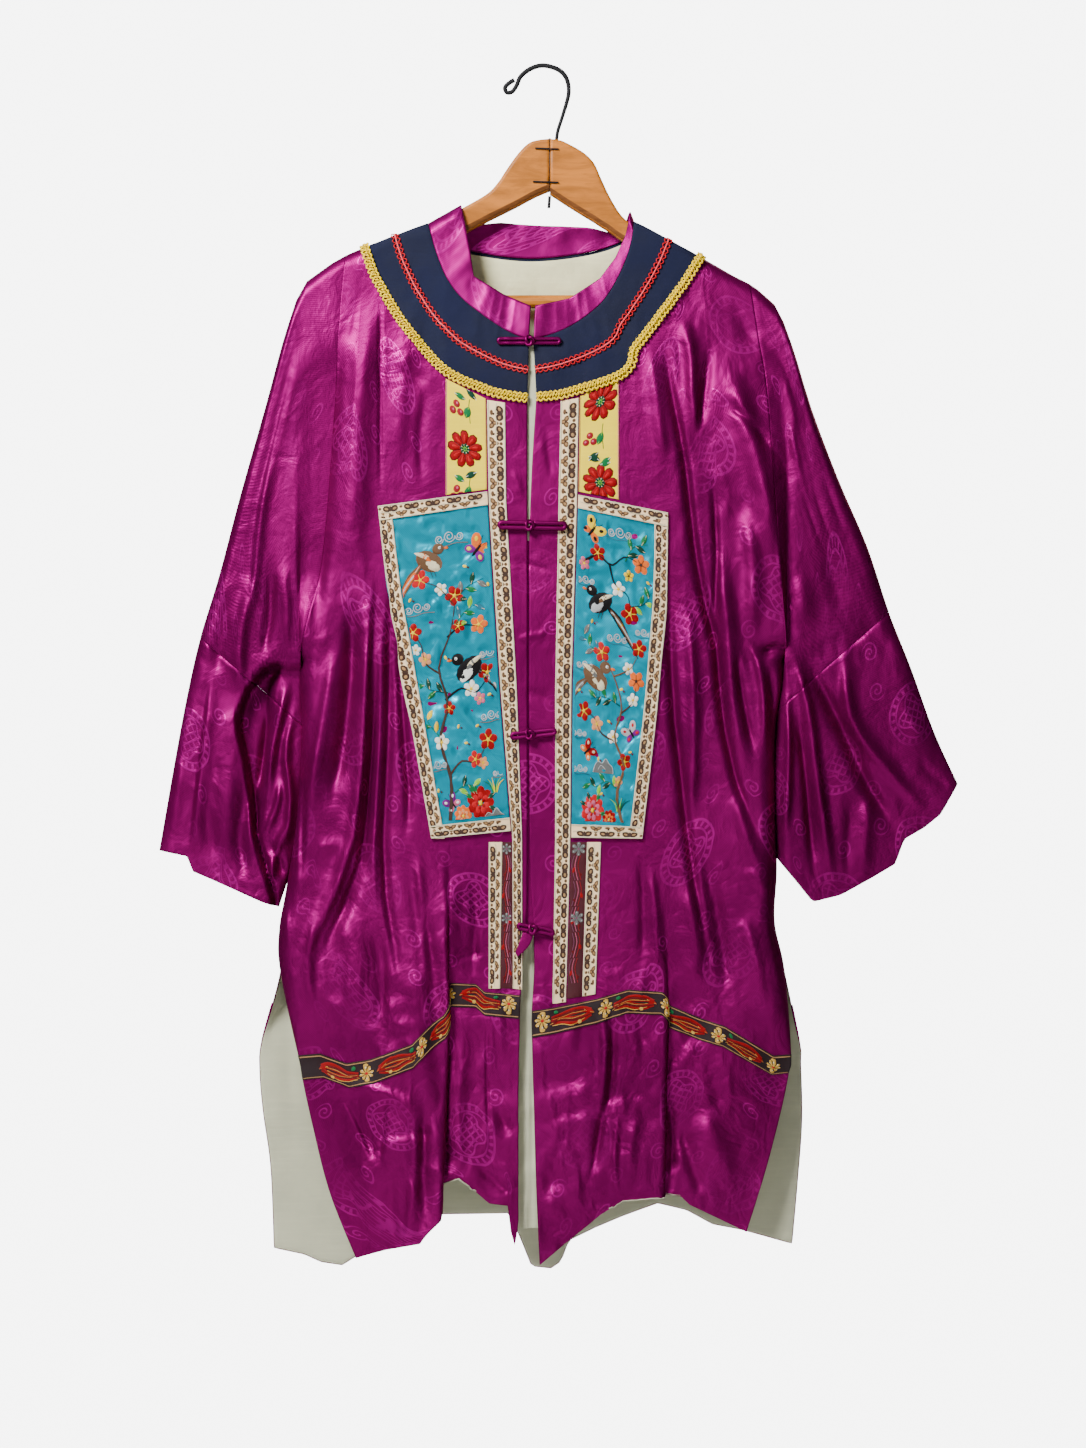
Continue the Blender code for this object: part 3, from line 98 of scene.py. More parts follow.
# left across, left drop, right across, right drop
BACK_ROWS = [(-178, 170, 186, 195), (-184, 238, 194, 247), (-188, 319, 202, 301), (-199, 445, 211, 430),
             (-219, 535, 219, 535), (-218, 598, 211, 598), (-222, 670, 210, 665), (-231, 737, 211, 724),
             (-238, 778, 209, 770), (-237, 815, 218, 815), (-254, 878, 232, 880), (-256, 905, 233, 900),
             (-253, 942, 234, 951), (-246, 994, 230, 1007), (-243, 1066, 225, 1062)]
BAND_TOP = {
    "left": [(-21, 835), (-52, 832), (-60, 825), (-83, 824), (-92, 852), (-117, 878), (-154, 892), (-176, 896),
             (-200, 888), (-220, 890)],
    "right": [(-10, 849), (10, 846), (49, 838), (76, 830), (105, 832), (113, 844), (141, 856), (163, 863),
              (207, 890), (223, 889)],
}
HEM_LINE = {
    "left": [(-22, 1037), (-25, 1060), (-29, 1046), (-31, 1023), (-48, 1021), (-75, 998), (-92, 1004),
             (-95, 1034), (-110, 1056), (-140, 1063), (-168, 1072)],
    "right": [(-3, 1076), (20, 1057), (53, 1030), (71, 1019), (104, 1016), (106, 1012), (124, 1016),
              (131, 1023), (183, 1049)],
    "back": [(-243, 1066), (-216, 1072), (-201, 1079), (-182, 1082), (-168, 1073), (-95, 1036), (-30, 1035),
             (-20, 1058), (-10, 1083), (7, 1085), (16, 1079), (23, 1060), (47, 1048), (71, 1038),
             (104, 1026), (130, 1032), (154, 1045), (181, 1050), (225, 1062)],
}
# outer across, outer drop, inner across, inner drop
SLEEVE_ROWS = {
    "left": [(-178, 170, -219, 535), (-213, 193, -218.4, 537), (-230, 233, -217, 540), (-250, 305, -216, 549),
             (-273, 386, -215.5, 563), (-292, 458, -214, 578), (-309, 514, -213, 596), (-320, 562, -213, 636),
             (-331, 620, -220, 698), (-346, 706, -238, 757)],
    "right": [(186, 195, 219, 535), (209, 214, 218.4, 537), (224, 249, 217, 540), (242, 307, 215.5, 546),
              (267, 373, 214.5, 555), (292, 431, 212.5, 566), (312, 491, 210, 580), (332, 542, 207, 614),
              (353, 600, 207, 658), (374, 646, 210, 712)],
}
CUFF = {
    "left": [(0.0, 0), (0.24, -7), (0.29, 4), (0.5, 3), (0.86, 2), (1.0, 0)],
    "right": [(0.0, 0), (0.1, 21), (0.19, 27), (0.3, 30), (0.35, 49), (0.48, 53), (0.65, 57), (0.8, 53),
              (0.9, 26), (1.0, 0)],
}
INNER_FOLD = [(-222, 534), (-236, 536), (-251, 544), (-266, 561), (-275, 586), (-274, 600), (-268, 626),
              (-263, 660), (-260, 691), (-243, 750)]
HOLLOW_EDGE = [(-222, 534), (-234, 537), (-240, 544), (-246, 561), (-248, 586), (-249, 611), (-250, 650),
               (-254, 670), (-260, 691), (-243, 750)]

# Folds: half widths to the left and right of a line down the cloth, height towards the viewer or off the back,
# and the line's places (across, drop) in pixels of the photo from the hang point
FRONT_FOLDS = [
    (8.1, 8.1, -9, (-203, 259), (-211, 334), (-218, 414), (-223, 494), (-232, 579)),
    (10.8, 11.7, 5.5, (-169, 219), (-179, 294), (-185, 374), (-191, 454), (-193, 534)),
    (1.8, 1.8, -1.6, (-162, 222), (-162, 334), (-162, 438)),
    (9.9, 7.2, 2, (-133, 259), (-141, 334), (-145, 404)), (4.5, 4.5, -1.6, (-151, 306), (-113, 318)),
    (3.6, 5.4, -1.6, (-115, 319), (-123, 374), (-119, 424)),
    (5.4, 8.1, 5.5, (-206, 574), (-215, 634), (-226, 694), (-237, 754)),
    (6.3, 6.3, -6.5, (-189, 524), (-192, 614), (-202, 694), (-216, 749)),
    (8.1, 2.3, 6.5, (-169, 494), (-174, 584), (-179, 694), (-188, 774), (-205, 824), (-231, 879), (-253, 924)),
    (2.7, 6.3, -5.5, (-164, 574), (-171, 694), (-180, 784), (-197, 836), (-221, 886), (-239, 919)),
    (2.2, 5.4, -4.5, (-152, 494), (-155, 674), (-160, 794), (-151, 864), (-139, 939)),
    (4.5, 2.2, 3.5, (-159, 534), (-163, 674), (-168, 784), (-164, 864)),
    (3.6, 3.6, -4.5, (-147, 534), (-138, 674), (-133, 734), (-139, 784)),
    (4.5, 4.5, 3.5, (-126, 779), (-119, 864), (-112, 934)),
    (8.1, 6.3, -6, (-135, 784), (-119, 854), (-107, 934), (-102, 1034), (-100, 1134)),
    (10.8, 10.8, 4, (-207, 839), (-187, 889), (-191, 949)),
    (4.5, 4.5, 2.5, (-225, 839), (-233, 894), (-227, 954)),
    (7.2, 5.4, -3, (-167, 854), (-159, 914), (-163, 974)),
    (1.8, 3.1, -3.5, (-241, 602), (-240, 734), (-241, 829)),
    (3.6, 2.7, 2.5, (-255, 754), (-257, 834), (-252, 894)), (3.6, 5.4, 2, (-227, 784), (-198, 776)),
    (2.3, 9, -4.5, (-205, 1019), (-185, 1052), (-166, 1096)),
    (9, 2.3, -3, (-158, 1030), (-159, 1064), (-165, 1100)),
    (11.7, 9, 5, (-193, 1079), (-173, 1124), (-165, 1174)),
    (5.4, 5.4, 3.5, (-131, 1052), (-126, 1084), (-129, 1106)), (4.5, 4.5, 4, (-127, 1106), (-136, 1179)),
    (5.4, 5.4, -4.5, (-115, 1014), (-119, 1094), (-117, 1169)), (5.4, 4.5, -3.5, (-151, 1104), (-147, 1174)),
    (5.4, 5.4, 3, (-240, 1022), (-223, 1064), (-211, 1119), (-197, 1174)),
    (4.5, 3.6, 3.2, (-231, 1042), (-198, 1016), (-158, 1024), (-118, 1040)),
    (3.6, 2.7, -3, (-235, 1027), (-205, 1031)), (3.6, 3.6, -2.2, (-163, 1066), (-111, 1062)),
    (4.5, 3.6, -2.6, (-213, 1054), (-205, 1084), (-209, 1109)),
    (5.4, 6.3, 2.4, (-81, 949), (-84, 1034), (-86, 1112)),
    (1.4, 1.4, -1.6, (-56, 949), (-55, 1034), (-52, 1084)), (1.8, 2.7, -2.2, (-91, 1012), (-23, 1021)),
    (4.5, 3.6, 1.8, (-91, 1001), (-27, 1011)), (5.4, 5.4, -3.2, (-49, 1038), (-31, 1068)),
    (2.7, 2.7, -2.2, (-67, 1098), (-31, 1126)), (3.6, 3.6, 1.6, (-43, 944), (-39, 994)),
    (6.3, 7.2, 3, (-88, 804), (-93, 864), (-88, 919)), (4.5, 3.6, -2.2, (-71, 794), (-67, 854), (-73, 919)),
    (3.6, 3.6, 1.8, (-103, 839), (-63, 859)), (2.7, 3.6, -1.6, (-93, 894), (-57, 884)),
    (2.7, 2.7, -0.9, (-31, 494), (9, 506)), (2.7, 2.7, 0.9, (-27, 574), (7, 566)),
    (2.7, 3.6, -0.9, (-23, 624), (9, 634)), (2.7, 2.7, 0.9, (-23, 724), (7, 716)),
    (3.6, 2.7, 0.9, (-31, 404), (-19, 434)), (2.7, 3.6, -0.9, (2, 364), (9, 414)),
    (5.4, 5.4, 5, (134, 246), (147, 286), (149, 334), (158, 384)),
    (4.5, 2.7, -5, (119, 272), (130, 334), (141, 389), (149, 459), (159, 534)),
    (6.3, 5.4, 2.8, (105, 279), (113, 334), (121, 404)), (3.6, 3.6, -3.5, (167, 279), (160, 334), (151, 379)),
    (11.7, 8.1, 6.5, (181, 296), (202, 354), (222, 434), (227, 504)),
    (3.6, 3.6, -3.6, (179, 332), (205, 358), (234, 389)), (7.2, 7.2, -2.5, (192, 234), (202, 264), (217, 279)),
    (4.5, 2.9, -6, (147, 454), (161, 534), (174, 584), (180, 654), (199, 734), (224, 786)),
    (5.4, 7.2, 5, (175, 474), (184, 574), (191, 654), (209, 724)),
    (4.5, 3.6, -5, (125, 494), (130, 634), (141, 734), (148, 794), (159, 864), (170, 924)),
    (5.4, 4.5, 4, (145, 534), (150, 634), (149, 714), (143, 764)),
    (2.7, 2.7, -3.2, (169, 404), (173, 494), (170, 574)), (6.3, 7.2, 4, (199, 439), (209, 504), (205, 574)),
    (4.5, 4.5, -6, (215, 589), (232, 582), (249, 586)), (3.6, 3.6, -5, (225, 596), (229, 634), (227, 674)),
    (3.6, 3.6, 4, (199, 570), (213, 594), (220, 639), (221, 694)),
    (3.6, 2.7, -3.5, (192, 582), (199, 634), (212, 694)), (7.2, 6.3, 4, (192, 724), (205, 779), (225, 814)),
    (7.2, 7.2, -4.5, (157, 774), (173, 849), (187, 934)), (7.2, 7.2, 3.5, (141, 814), (153, 874), (147, 924)),
    (4.5, 4.5, 2.5, (201, 800), (227, 827)), (7.2, 6.3, 3.2, (199, 844), (212, 894), (219, 944)),
    (1.8, 4.5, -4.5, (230, 774), (228, 839), (234, 894), (248, 944)),
    (4.5, 3.6, 2.4, (107, 794), (113, 864), (111, 914)), (3.6, 3.6, -1.8, (97, 784), (100, 854), (97, 904)),
    (12.6, 9, 5, (155, 1039), (175, 1089), (193, 1124)),
    (5.4, 6.3, -3.8, (135, 1049), (149, 1099), (162, 1134)),
    (6.3, 6.3, 3.6, (127, 1019), (143, 989), (159, 974)), (3.6, 4.5, -4, (126, 1024), (129, 1084), (127, 1119)),
    (3.6, 3.6, -2.6, (163, 1029), (202, 1042)), (6.3, 5.4, 2.6, (187, 1014), (222, 1046), (229, 1074)),
    (4.5, 4.5, -2.5, (202, 1064), (192, 1104)), (4.5, 4.5, 3, (58, 932), (62, 994), (54, 1046)),
    (3.6, 3.6, -3.6, (70, 934), (68, 1014), (56, 1064), (47, 1124)),
    (2.7, 2.7, 2.4, (75, 1042), (71, 1094), (75, 1132)), (1.8, 3.6, -2.4, (-12, 1020), (17, 1014), (49, 1004)),
    (2.7, 2.7, -2.8, (-12, 1054), (22, 1046), (59, 1031)),
    (2.7, 2.7, -2.4, (57, 1027), (87, 1024), (115, 1014)), (4.5, 4.5, 2.2, (-12, 1036), (22, 1030), (57, 1019)),
    (5.4, 5.4, 2.6, (99, 1042), (87, 1074), (89, 1109)), (4.5, 5.4, -2, (17, 1062), (43, 1076)),
    (9, 9, 2.6, (0, 1149), (19, 1129), (45, 1124)), (6.3, 5.4, -1.8, (7, 1084), (13, 1124)),
    (5.4, 5.4, 1.6, (32, 944), (27, 994)), (5.4, 5.4, -1.8, (97, 944), (101, 994)),
]
SLEEVE_FOLDS = [
    (2.7, 4.5, 3, (-240, 259), (-253, 324), (-276, 414), (-286, 494), (-292, 584)),
    (4.5, 3.6, -2.2, (-247, 294), (-263, 364), (-283, 434)),
    (7.2, 7.2, 3.5, (-226, 239), (-238, 334), (-242, 434), (-245, 534)),
    (10.8, 9, 2.2, (-213, 209), (-225, 229)), (7.2, 4.5, 4.5, (-285, 504), (-300, 564), (-303, 629)),
    (4.5, 4.5, -3.2, (-271, 494), (-273, 554), (-281, 594)),
    (5.4, 3.6, 2.6, (-259, 494), (-255, 554), (-259, 589)),
    (6.3, 5.4, -2.2, (-315, 524), (-321, 574), (-327, 614)),
    (2.3, 9, 4.5, (-330, 606), (-340, 694), (-352, 796)),
    (10.8, 10.8, 3.2, (-311, 624), (-314, 694), (-321, 794)),
    (6.3, 6.3, -4.2, (-293, 704), (-303, 774), (-291, 819)), (6.3, 6.3, -2, (-338, 734), (-328, 794)),
    (5.4, 5.4, 1.8, (-358, 624), (-365, 714), (-371, 774)),
    (4.5, 4.5, 7, (-252, 606), (-264, 654), (-277, 714), (-286, 764)),
    (3.6, 3.6, 5.5, (-246, 634), (-257, 684), (-252, 734), (-259, 794)),
    (3.6, 3.6, -5, (-271, 634), (-281, 694), (-285, 734)), (3.6, 2.7, 4, (-281, 772), (-267, 742), (-262, 712)),
    (4.5, 3.6, 4.5, (-251, 754), (-266, 784), (-275, 824)), (3.6, 3.6, -4, (-273, 774), (-257, 814)),
    (1.8, 2.7, -2, (303, 428), (279, 446), (257, 460)), (3.6, 4.5, 2.2, (251, 264), (254, 294), (263, 319)),
    (4.5, 5.4, -7, (243, 309), (243, 364), (240, 434), (242, 534), (244, 584)),
    (3.6, 3.6, 4.5, (249, 319), (247, 364), (254, 404)), (8.1, 8.1, 3, (258, 509), (260, 559)),
    (7.2, 7.2, -1.6, (287, 494), (297, 544)), (5.4, 4, 6, (244, 576), (263, 634), (275, 724), (291, 828)),
    (6.3, 5.4, -7, (256, 584), (293, 649), (325, 719), (360, 772)),
    (4, 6.3, 6, (302, 574), (305, 649), (341, 702), (387, 749)),
    (3.6, 3.6, -4.5, (253, 639), (261, 699), (271, 814)), (3.6, 3.1, 4.5, (243, 624), (245, 694), (240, 779)),
    (5.4, 5.4, 3.5, (325, 722), (319, 814)), (3.6, 3.6, -2.6, (307, 734), (303, 814)),
    (3.6, 3.6, -1.6, (257, 594), (307, 574), (342, 554)), (4.5, 4.5, -1.8, (372, 694), (407, 724)),
    (6.3, 6.3, 1.6, (352, 634), (382, 674)), (5.4, 5.4, 1.4, (362, 594), (347, 574)),
]
BACK_FOLDS = [
    (8.1, 7.2, 2.4, (-93, 274), (-103, 364), (-113, 474)), (7.2, 8.1, 2.4, (97, 274), (109, 364), (121, 474)),
    (9, 7.2, -2.2, (-43, 314), (-51, 414), (-57, 534)), (7.2, 9, -2.2, (47, 314), (55, 414), (63, 534)),
    (7.2, 6.3, 3, (-213, 474), (-191, 544), (-147, 584)), (6.3, 7.2, 3, (217, 474), (195, 544), (151, 584)),
    (5.4, 5.4, -3.2, (-225, 494), (-211, 574), (-171, 624)),
    (5.4, 5.4, -3.2, (229, 494), (215, 574), (175, 624)),
    (11.7, 7.2, 5, (-173, 634), (-191, 784), (-203, 944), (-197, 1114)),
    (7.2, 11.7, 5, (177, 634), (195, 784), (201, 944), (187, 1114)),
    (5.4, 9, -4, (-151, 654), (-159, 814), (-169, 994), (-165, 1134)),
    (9, 5.4, -4, (157, 654), (165, 814), (173, 994), (163, 1124)),
    (12.6, 8.1, 4, (-93, 634), (-97, 794), (-113, 954), (-105, 1144)),
    (8.1, 12.6, 4, (97, 624), (105, 794), (113, 954), (107, 1124)),
    (8.1, 10.8, -3.2, (-43, 574), (-45, 754), (-57, 934), (-53, 1144)),
    (10.8, 8.1, -3.2, (47, 584), (53, 764), (59, 944), (49, 1154)),
    (12.6, 12.6, 3.6, (2, 494), (5, 694), (-3, 894), (5, 1174)),
    (6.3, 6.3, 3.2, (-243, 754), (-251, 874), (-257, 994), (-251, 1134)),
    (6.3, 6.3, 3.2, (241, 734), (247, 864), (249, 994), (241, 1134)),
    (5.4, 5.4, -3, (-225, 774), (-221, 894), (-225, 1014)), (5.4, 5.4, -3, (225, 774), (223, 894), (225, 1014)),
    (2.7, 2.7, -1.6, (-123, 994), (-73, 986), (-23, 996)),
    (2.7, 2.7, -1.6, (37, 1014), (97, 1004), (147, 1012)), (2.7, 3.6, 1.6, (-183, 1044), (-123, 1034)),
    (5.4, 5.4, 1.6, (-83, 214), (2, 234), (97, 219)),
]
# Trims: drop and across of the edge nearest the centre, then of the edge furthest from it
FRONT_TAPE = {
    "left": [(304.5, -34, 302, -50), (392, -33, 392, -48.5), (560, -23.5, 560, -38), (693, -18.8, 693, -27.5),
             (830, -18.5, 829, -26.8)],
    "right": [(303, 16, 300, 32), (392, 14, 392, 30.5), (560, 11, 560, 25.5), (693, 11, 693, 24.5),
              (842.5, 8.6, 841, 20.6)],
}
FLOWER_RIBBON = {
    "left": [(301, -51.2, 283, -87), (382, -50.2, 387, -87)],
    "right": [(299, 33.2, 281, 68), (384, 32.0, 391, 68)],
}
LOWER_TAPE = {
    "left": [(698, -36.5, 698, -48.5), (829, -38.5, 829, -48.5)],
    "right": [(698, 39.5, 698, 52), (836, 35, 834, 47)],
}
BROCADE_STRIP = {
    "left": [(698, -28.0, 698, -37), (829, -27.2, 829, -38.2)],
    "right": [(698, 25.3, 698, 39), (838, 21.6, 836, 34.5)],
}
PANEL = {
    "left": [(384, -50.0, 397, -148), (450, -46.2, 470, -140), (560, -39.2, 575, -121), (688, -29, 695, -100)],
    "right": [(387, 31.6, 403, 112), (450, 29.9, 470, 111.5), (560, 26.6, 575, 103), (694, 25.4, 695, 89)],
}
# across of the cords' left ends, knots and right ends, drop at left and right, height, lift of cord and of knot
FROGS = [(-40, -12, 15, 249, 249, 7.5, 2.9, 4.6), (-39, -12, 20, 414, 415, 9.0, 4.3, 5.9),
         (-28, -12, 11, 603, 599, 8.0, 4.3, 5.9), (-22, -9, 9, 773, 779, 8.0, 4.3, 5.9)]
# along a flower ribbon: its blooms, berries and leaves; across it: the berries; and the lean of a leaf
RIBBON_PLACES = {
    "left": ((54.0,), (20.0, 92.0), (75.0, 6.0), 9.0, 0.3),
    "right": ((14.0, 86.0), (46.0,), (62.0, 66.0), -9.0, -0.4),
}
# Hanger: across, top and foot of each arm; across and drop of the wire
ARM = {
    "left": [(5.8, 65, 112), (-4, 66, 116), (-13, 69, 120.5), (-23, 79, 126), (-33, 93, 131), (-41, 105, 135),
             (-51, 115, 140), (-72, 127.2, 151), (-80, 132, 155), (-98, 142, 165), (-104, 144.7, 168),
             (-134, 156.1, 182), (-158, 165.3, 195), (-176, 172.5, 204), (-188, 179.6, 211),
             (-204, 190.4, 220)],
    "right": [(6.2, 65, 115), (14, 66, 120), (20, 68, 124), (36, 77, 134), (46, 87, 140), (52, 100, 144),
              (60, 117, 149), (68, 130.5, 155), (74.5, 138, 159), (82, 143, 163), (94, 150.2, 171),
              (112, 160, 182), (136, 172.5, 198), (148, 177.5, 205), (166, 187.8, 214), (184, 197.7, 222),
              (190, 201.3, 225), (196, 206.3, 228), (200, 209.8, 230)],
}
HOOK_WIRE = [(-25.8, 11.4), (-30.5, 14.2), (-34.3, 18.4), (-32.4, 22.8), (-27.6, 21.8), (-23.6, 16.0),
             (-20, 8.2), (-11, 1.2), (0, -1.65), (12, 1.2), (19, 6.5), (22.5, 14), (23.2, 23), (21, 33),
             (17, 46), (13.5, 57), (12.2, 65.1)]
# Stage and camera, in metres but for the sensor
WALL_Y, WALL_REACH, FLOOR_Z, FLOOR_REACH, FLOOR_END = 5.0, 8.0, -1.6, 6.0, 2.0
SENSOR, DISTANCE, FACE, VIEW_HEIGHT, VIEW_MIDDLE = 36.0, 4.0, -0.008, 1.3032, -0.5922


# Numbers and curves

def ease(value, low=0.0, span=1.0):
    """0 up to low and 1 from a span above it, smooth between."""
    value = np.clip((value - low) / span, 0.0, 1.0)
    return value * value * (3.0 - 2.0 * value)


def rounded(distance, radius):
    share = np.clip(distance / radius, 0.0, 1.0)
    return np.sqrt(np.maximum(0.0, 1.0 - (1.0 - share) ** 2))


def mix(first, second, share):
    return first + (second - first) * share


def run_lengths(points):
    """Length along a line up to each of its points."""
    return np.concatenate([[0.0], np.cumsum(np.linalg.norm(np.diff(points, axis=0), axis=1))])


def look_up(places, steps, table):
    """Rows of a table at these places among its steps."""
    return np.stack([np.interp(places, steps, table[:, k]) for k in range(table.shape[1])], -1)


def smooth_table(table, place):
    """Smooth values of a table at real row numbers."""
    table = np.asarray(table, float)
    place = np.clip(np.asarray(place, float), 0.0, len(table) - 1.0)
    k = np.minimum(place.astype(int), len(table) - 2)
    t = (place - k)[..., None]
    a, b = table[np.maximum(k - 1, 0)], table[k]
    c, d = table[k + 1], table[np.minimum(k + 2, len(table) - 1)]
    return 0.5 * (2 * b + (c - a) * t + (2 * a - 5 * b + 4 * c - d) * t ** 2 + (3 * b - a - 3 * c + d) * t ** 3)


def dense(points, count=160, smooth=True):
    """Points evenly along a curve."""
    points = np.asarray(points, float)
    fine = smooth_table(points, np.linspace(0, len(points) - 1, 40 * len(points))) if smooth else points
    steps = run_lengths(fine)
    return look_up(np.linspace(0.0, steps[-1], count), steps, fine)


def along(curve, share):
    return look_up(np.asarray(share, float) * (len(curve) - 1), np.arange(len(curve)), curve)


def read(curve, across):
    if curve[0, 0] > curve[-1, 0]:
        curve = curve[::-1]
    return np.interp(across, curve[:, 0], curve[:, 1])


def waver(x, z, size, layer=0):
    """Smooth noise from -1 to 1 with features of this size."""
    grid = LATTICE[layer % LAYERS]
    px, pz = x / size + 100.0 + layer * 3.7, z / size + 100.0 - layer * 5.1
    ix, iz = np.floor(px).astype(int), np.floor(pz).astype(int)
    fx, fz = ease(px - ix), ease(pz - iz)
    ix, iz = ix % LATTICE_CELLS, iz % LATTICE_CELLS
    jx, jz = (ix + 1) % LATTICE_CELLS, (iz + 1) % LATTICE_CELLS
    low = grid[ix, iz] * (1 - fx) + grid[jx, iz] * fx
    high = grid[ix, jz] * (1 - fx) + grid[jx, jz] * fx
    return 2.0 * (low * (1 - fz) + high * fz) - 1.0


def crinkle(across, drop, size, layer):
    """Uneven small creases: sharp where two waves of noise cross."""
    x = across + 0.35 * size * waver(across, drop, 1.7 * size, layer + 2)
    z = drop + 0.35 * size * waver(across, drop, 1.5 * size, layer + 3)
    return 1.0 - 2.0 * np.abs(waver(x * 1.25, z * 0.8, size, layer)) ** 0.8


# Forms of the cloth

RIDGE_FINE = dense(RIDGE, 600)
EDGE_FINE = {side: dense(YOKE_EDGE[side]) for side in SIDES}
SEAM_FINE = {key: dense(NECK_SEAM[key]) for key in NECK_SEAM}
TOP_FINE = {key: dense(COLLAR_TOP[key], smooth=key == "back") for key in COLLAR_TOP}
BAND_FINE = {side: np.array(BAND_TOP[side], float) for side in SIDES}
HEM_FINE = {key: np.array(HEM_LINE[key], float) for key in HEM_LINE}


def fold_height(table, across, drop):
    """Soft ridges and troughs along lines, each with its own width on either side."""
    across, drop = np.broadcast_arrays(across, drop)
    total = np.zeros(across.shape)
    for left, right, height, *path in table:
        line = dense(np.array(path) * PIXEL, FOLD_SPANS + 1, smooth=len(path) > 2)
        reach = 2.6 * max(left, right)
        low, high = line.min(axis=0) - reach, line.max(axis=0) + reach
        near = (across > low[0]) & (across < high[0]) & (drop > low[1]) & (drop < high[1])
        if not near.any():
            continue
        x, z = across[near], drop[near]
        best = np.full(x.shape, 1e9)
        side, place = np.zeros(x.shape), np.zeros(x.shape)
        for k in range(FOLD_SPANS):
            run = line[k + 1] - line[k]
            length = np.linalg.norm(run)
            t = np.clip(((x - line[k, 0]) * run[0] + (z - line[k, 1]) * run[1]) / length ** 2, 0.0, 1.0)
            off_x, off_z = x - line[k, 0] - t * run[0], z - line[k, 1] - t * run[1]
            away = np.hypot(off_x, off_z)
            closer = away < best
            best = np.where(closer, away, best)
            side = np.where(closer, off_x * run[1] - off_z * run[0], side)
            place = np.where(closer, (k + t) / FOLD_SPANS, place)
        width = np.where(side < 0.0, left, right)
        fade = ease(place / FOLD_FADE) * ease((1.0 - place) / FOLD_FADE)
        total[near] += height * fade * np.exp(-(best / width) ** 2)
    return total


def below_ridge(across, drop):
    return drop - read(RIDGE_FINE, across)


def panel_calm(across, drop):
    """1 over the plain cloth, less where ribbons and panels hold it flat."""
    inside = ease((across + 168) / 22.0) * ease((132 - across) / 22.0)
    level = ease((drop - 255) / 40.0) * ease((850 - drop) / 90.0)
    return 1.0 - 0.8 * inside * level


def front_height(across, drop):
    down = below_ridge(across, drop)
    deep = mix(SHOULDER_FRONT, CHEST_FRONT, ease(down, *CHEST_RISE))
    deep = deep + (HEM_FRONT - CHEST_FRONT) * ease(drop, *HEM_RISE)
    skirt = ease(drop, *SKIRT_RISE)
    fine = 1.1 * waver(across * 1.3, drop * 0.55, 36.0, 1) + 0.25 * waver(across, drop, 8.0, 5)
    fine = fine + (0.5 + 0.9 * skirt) * crinkle(across, drop, 30.0, 2)
    fine = fine + (0.35 + 0.6 * skirt) * crinkle(across, drop, 15.0, 4)
    folds = FOLD_GAIN * fold_height(FRONT_FOLDS, across, drop) + fine * panel_calm(across, drop)
    return deep * rounded(down, RIDGE_RADIUS) + folds * ease(down, *FRONT_CREASED)


def back_height(across, drop):
    down = below_ridge(across, drop)
    deep = mix(SHOULDER_BACK, BACK_DEPTH, ease(down, *CHEST_RISE))
    fine = fold_height(BACK_FOLDS, across, drop) + 0.9 * waver(across * 1.3, drop * 0.6, 40.0, 3)
    fine = fine + 0.5 * crinkle(across, drop, 28.0, 1)
    return deep * rounded(down, RIDGE_RADIUS) + fine * ease(down, *BACK_CREASED)


def pleat_line(side, drop):
    rows = np.array(FRONT_ROWS[side], float)
    return np.interp(drop, rows[:, 1], rows[:, 2])


def pleat_height(side, across, drop, line):
    height, start = PLEAT[side][:2]
    off = OUT[side] * (across - line)
    far = np.exp(-(np.maximum(0.0, off) / PLEAT_FAR) ** 2)
    return height * ease(drop, start, PLEAT_GROWS) * ease(off, -3.5, 7.0) * far


def pleat_hang(side, across, drop, line):
    """How far the front edge of the pleat leans over the cloth behind it."""
    start, hang = PLEAT[side][1:]
    off = line - across
    return hang * ease(drop, start, PLEAT_GROWS) * np.exp(-((off - 1.0) / 7.0) ** 2) * ease(off, -5.0, 6.0)


def dip(curve, ends, share):
    """How far a curve lies below the straight line between a row's ends."""
    return read(curve, mix(ends[0], ends[2], share)) - mix(ends[1], ends[3], share)


def row_ends(side, k):
    row = FRONT_ROWS[side][k]
    return (row[0], row[1], row[3], row[4])


def top_edge(side, across):
    edge = EDGE_FINE[side]
    return np.where(np.abs(across) <= abs(edge[-1, 0]), read(edge, across), read(RIDGE_FINE, across))


def side_depth(height, slit_height, place, edge_drop, inset):
    """Depth of a front or back, rounded off at its side seam and gaping at its slit."""
    slit = ease((place - SLIT_ROW) / 1.2)
    at_edge = np.where(place < ARMPIT, rounded(ARMPIT_DROP - edge_drop, SIDE_RADIUS * 1.6), slit)
    near = slit * np.exp(-(inset / SLIT_REACH) ** 2)
    return mix(height, slit_height, near) * mix(rounded(inset, SIDE_RADIUS), 1.0, at_edge)


def grid_of(place, share):
    return np.broadcast_arrays(np.asarray(place, float)[:, None], np.asarray(share, float)[None, :])


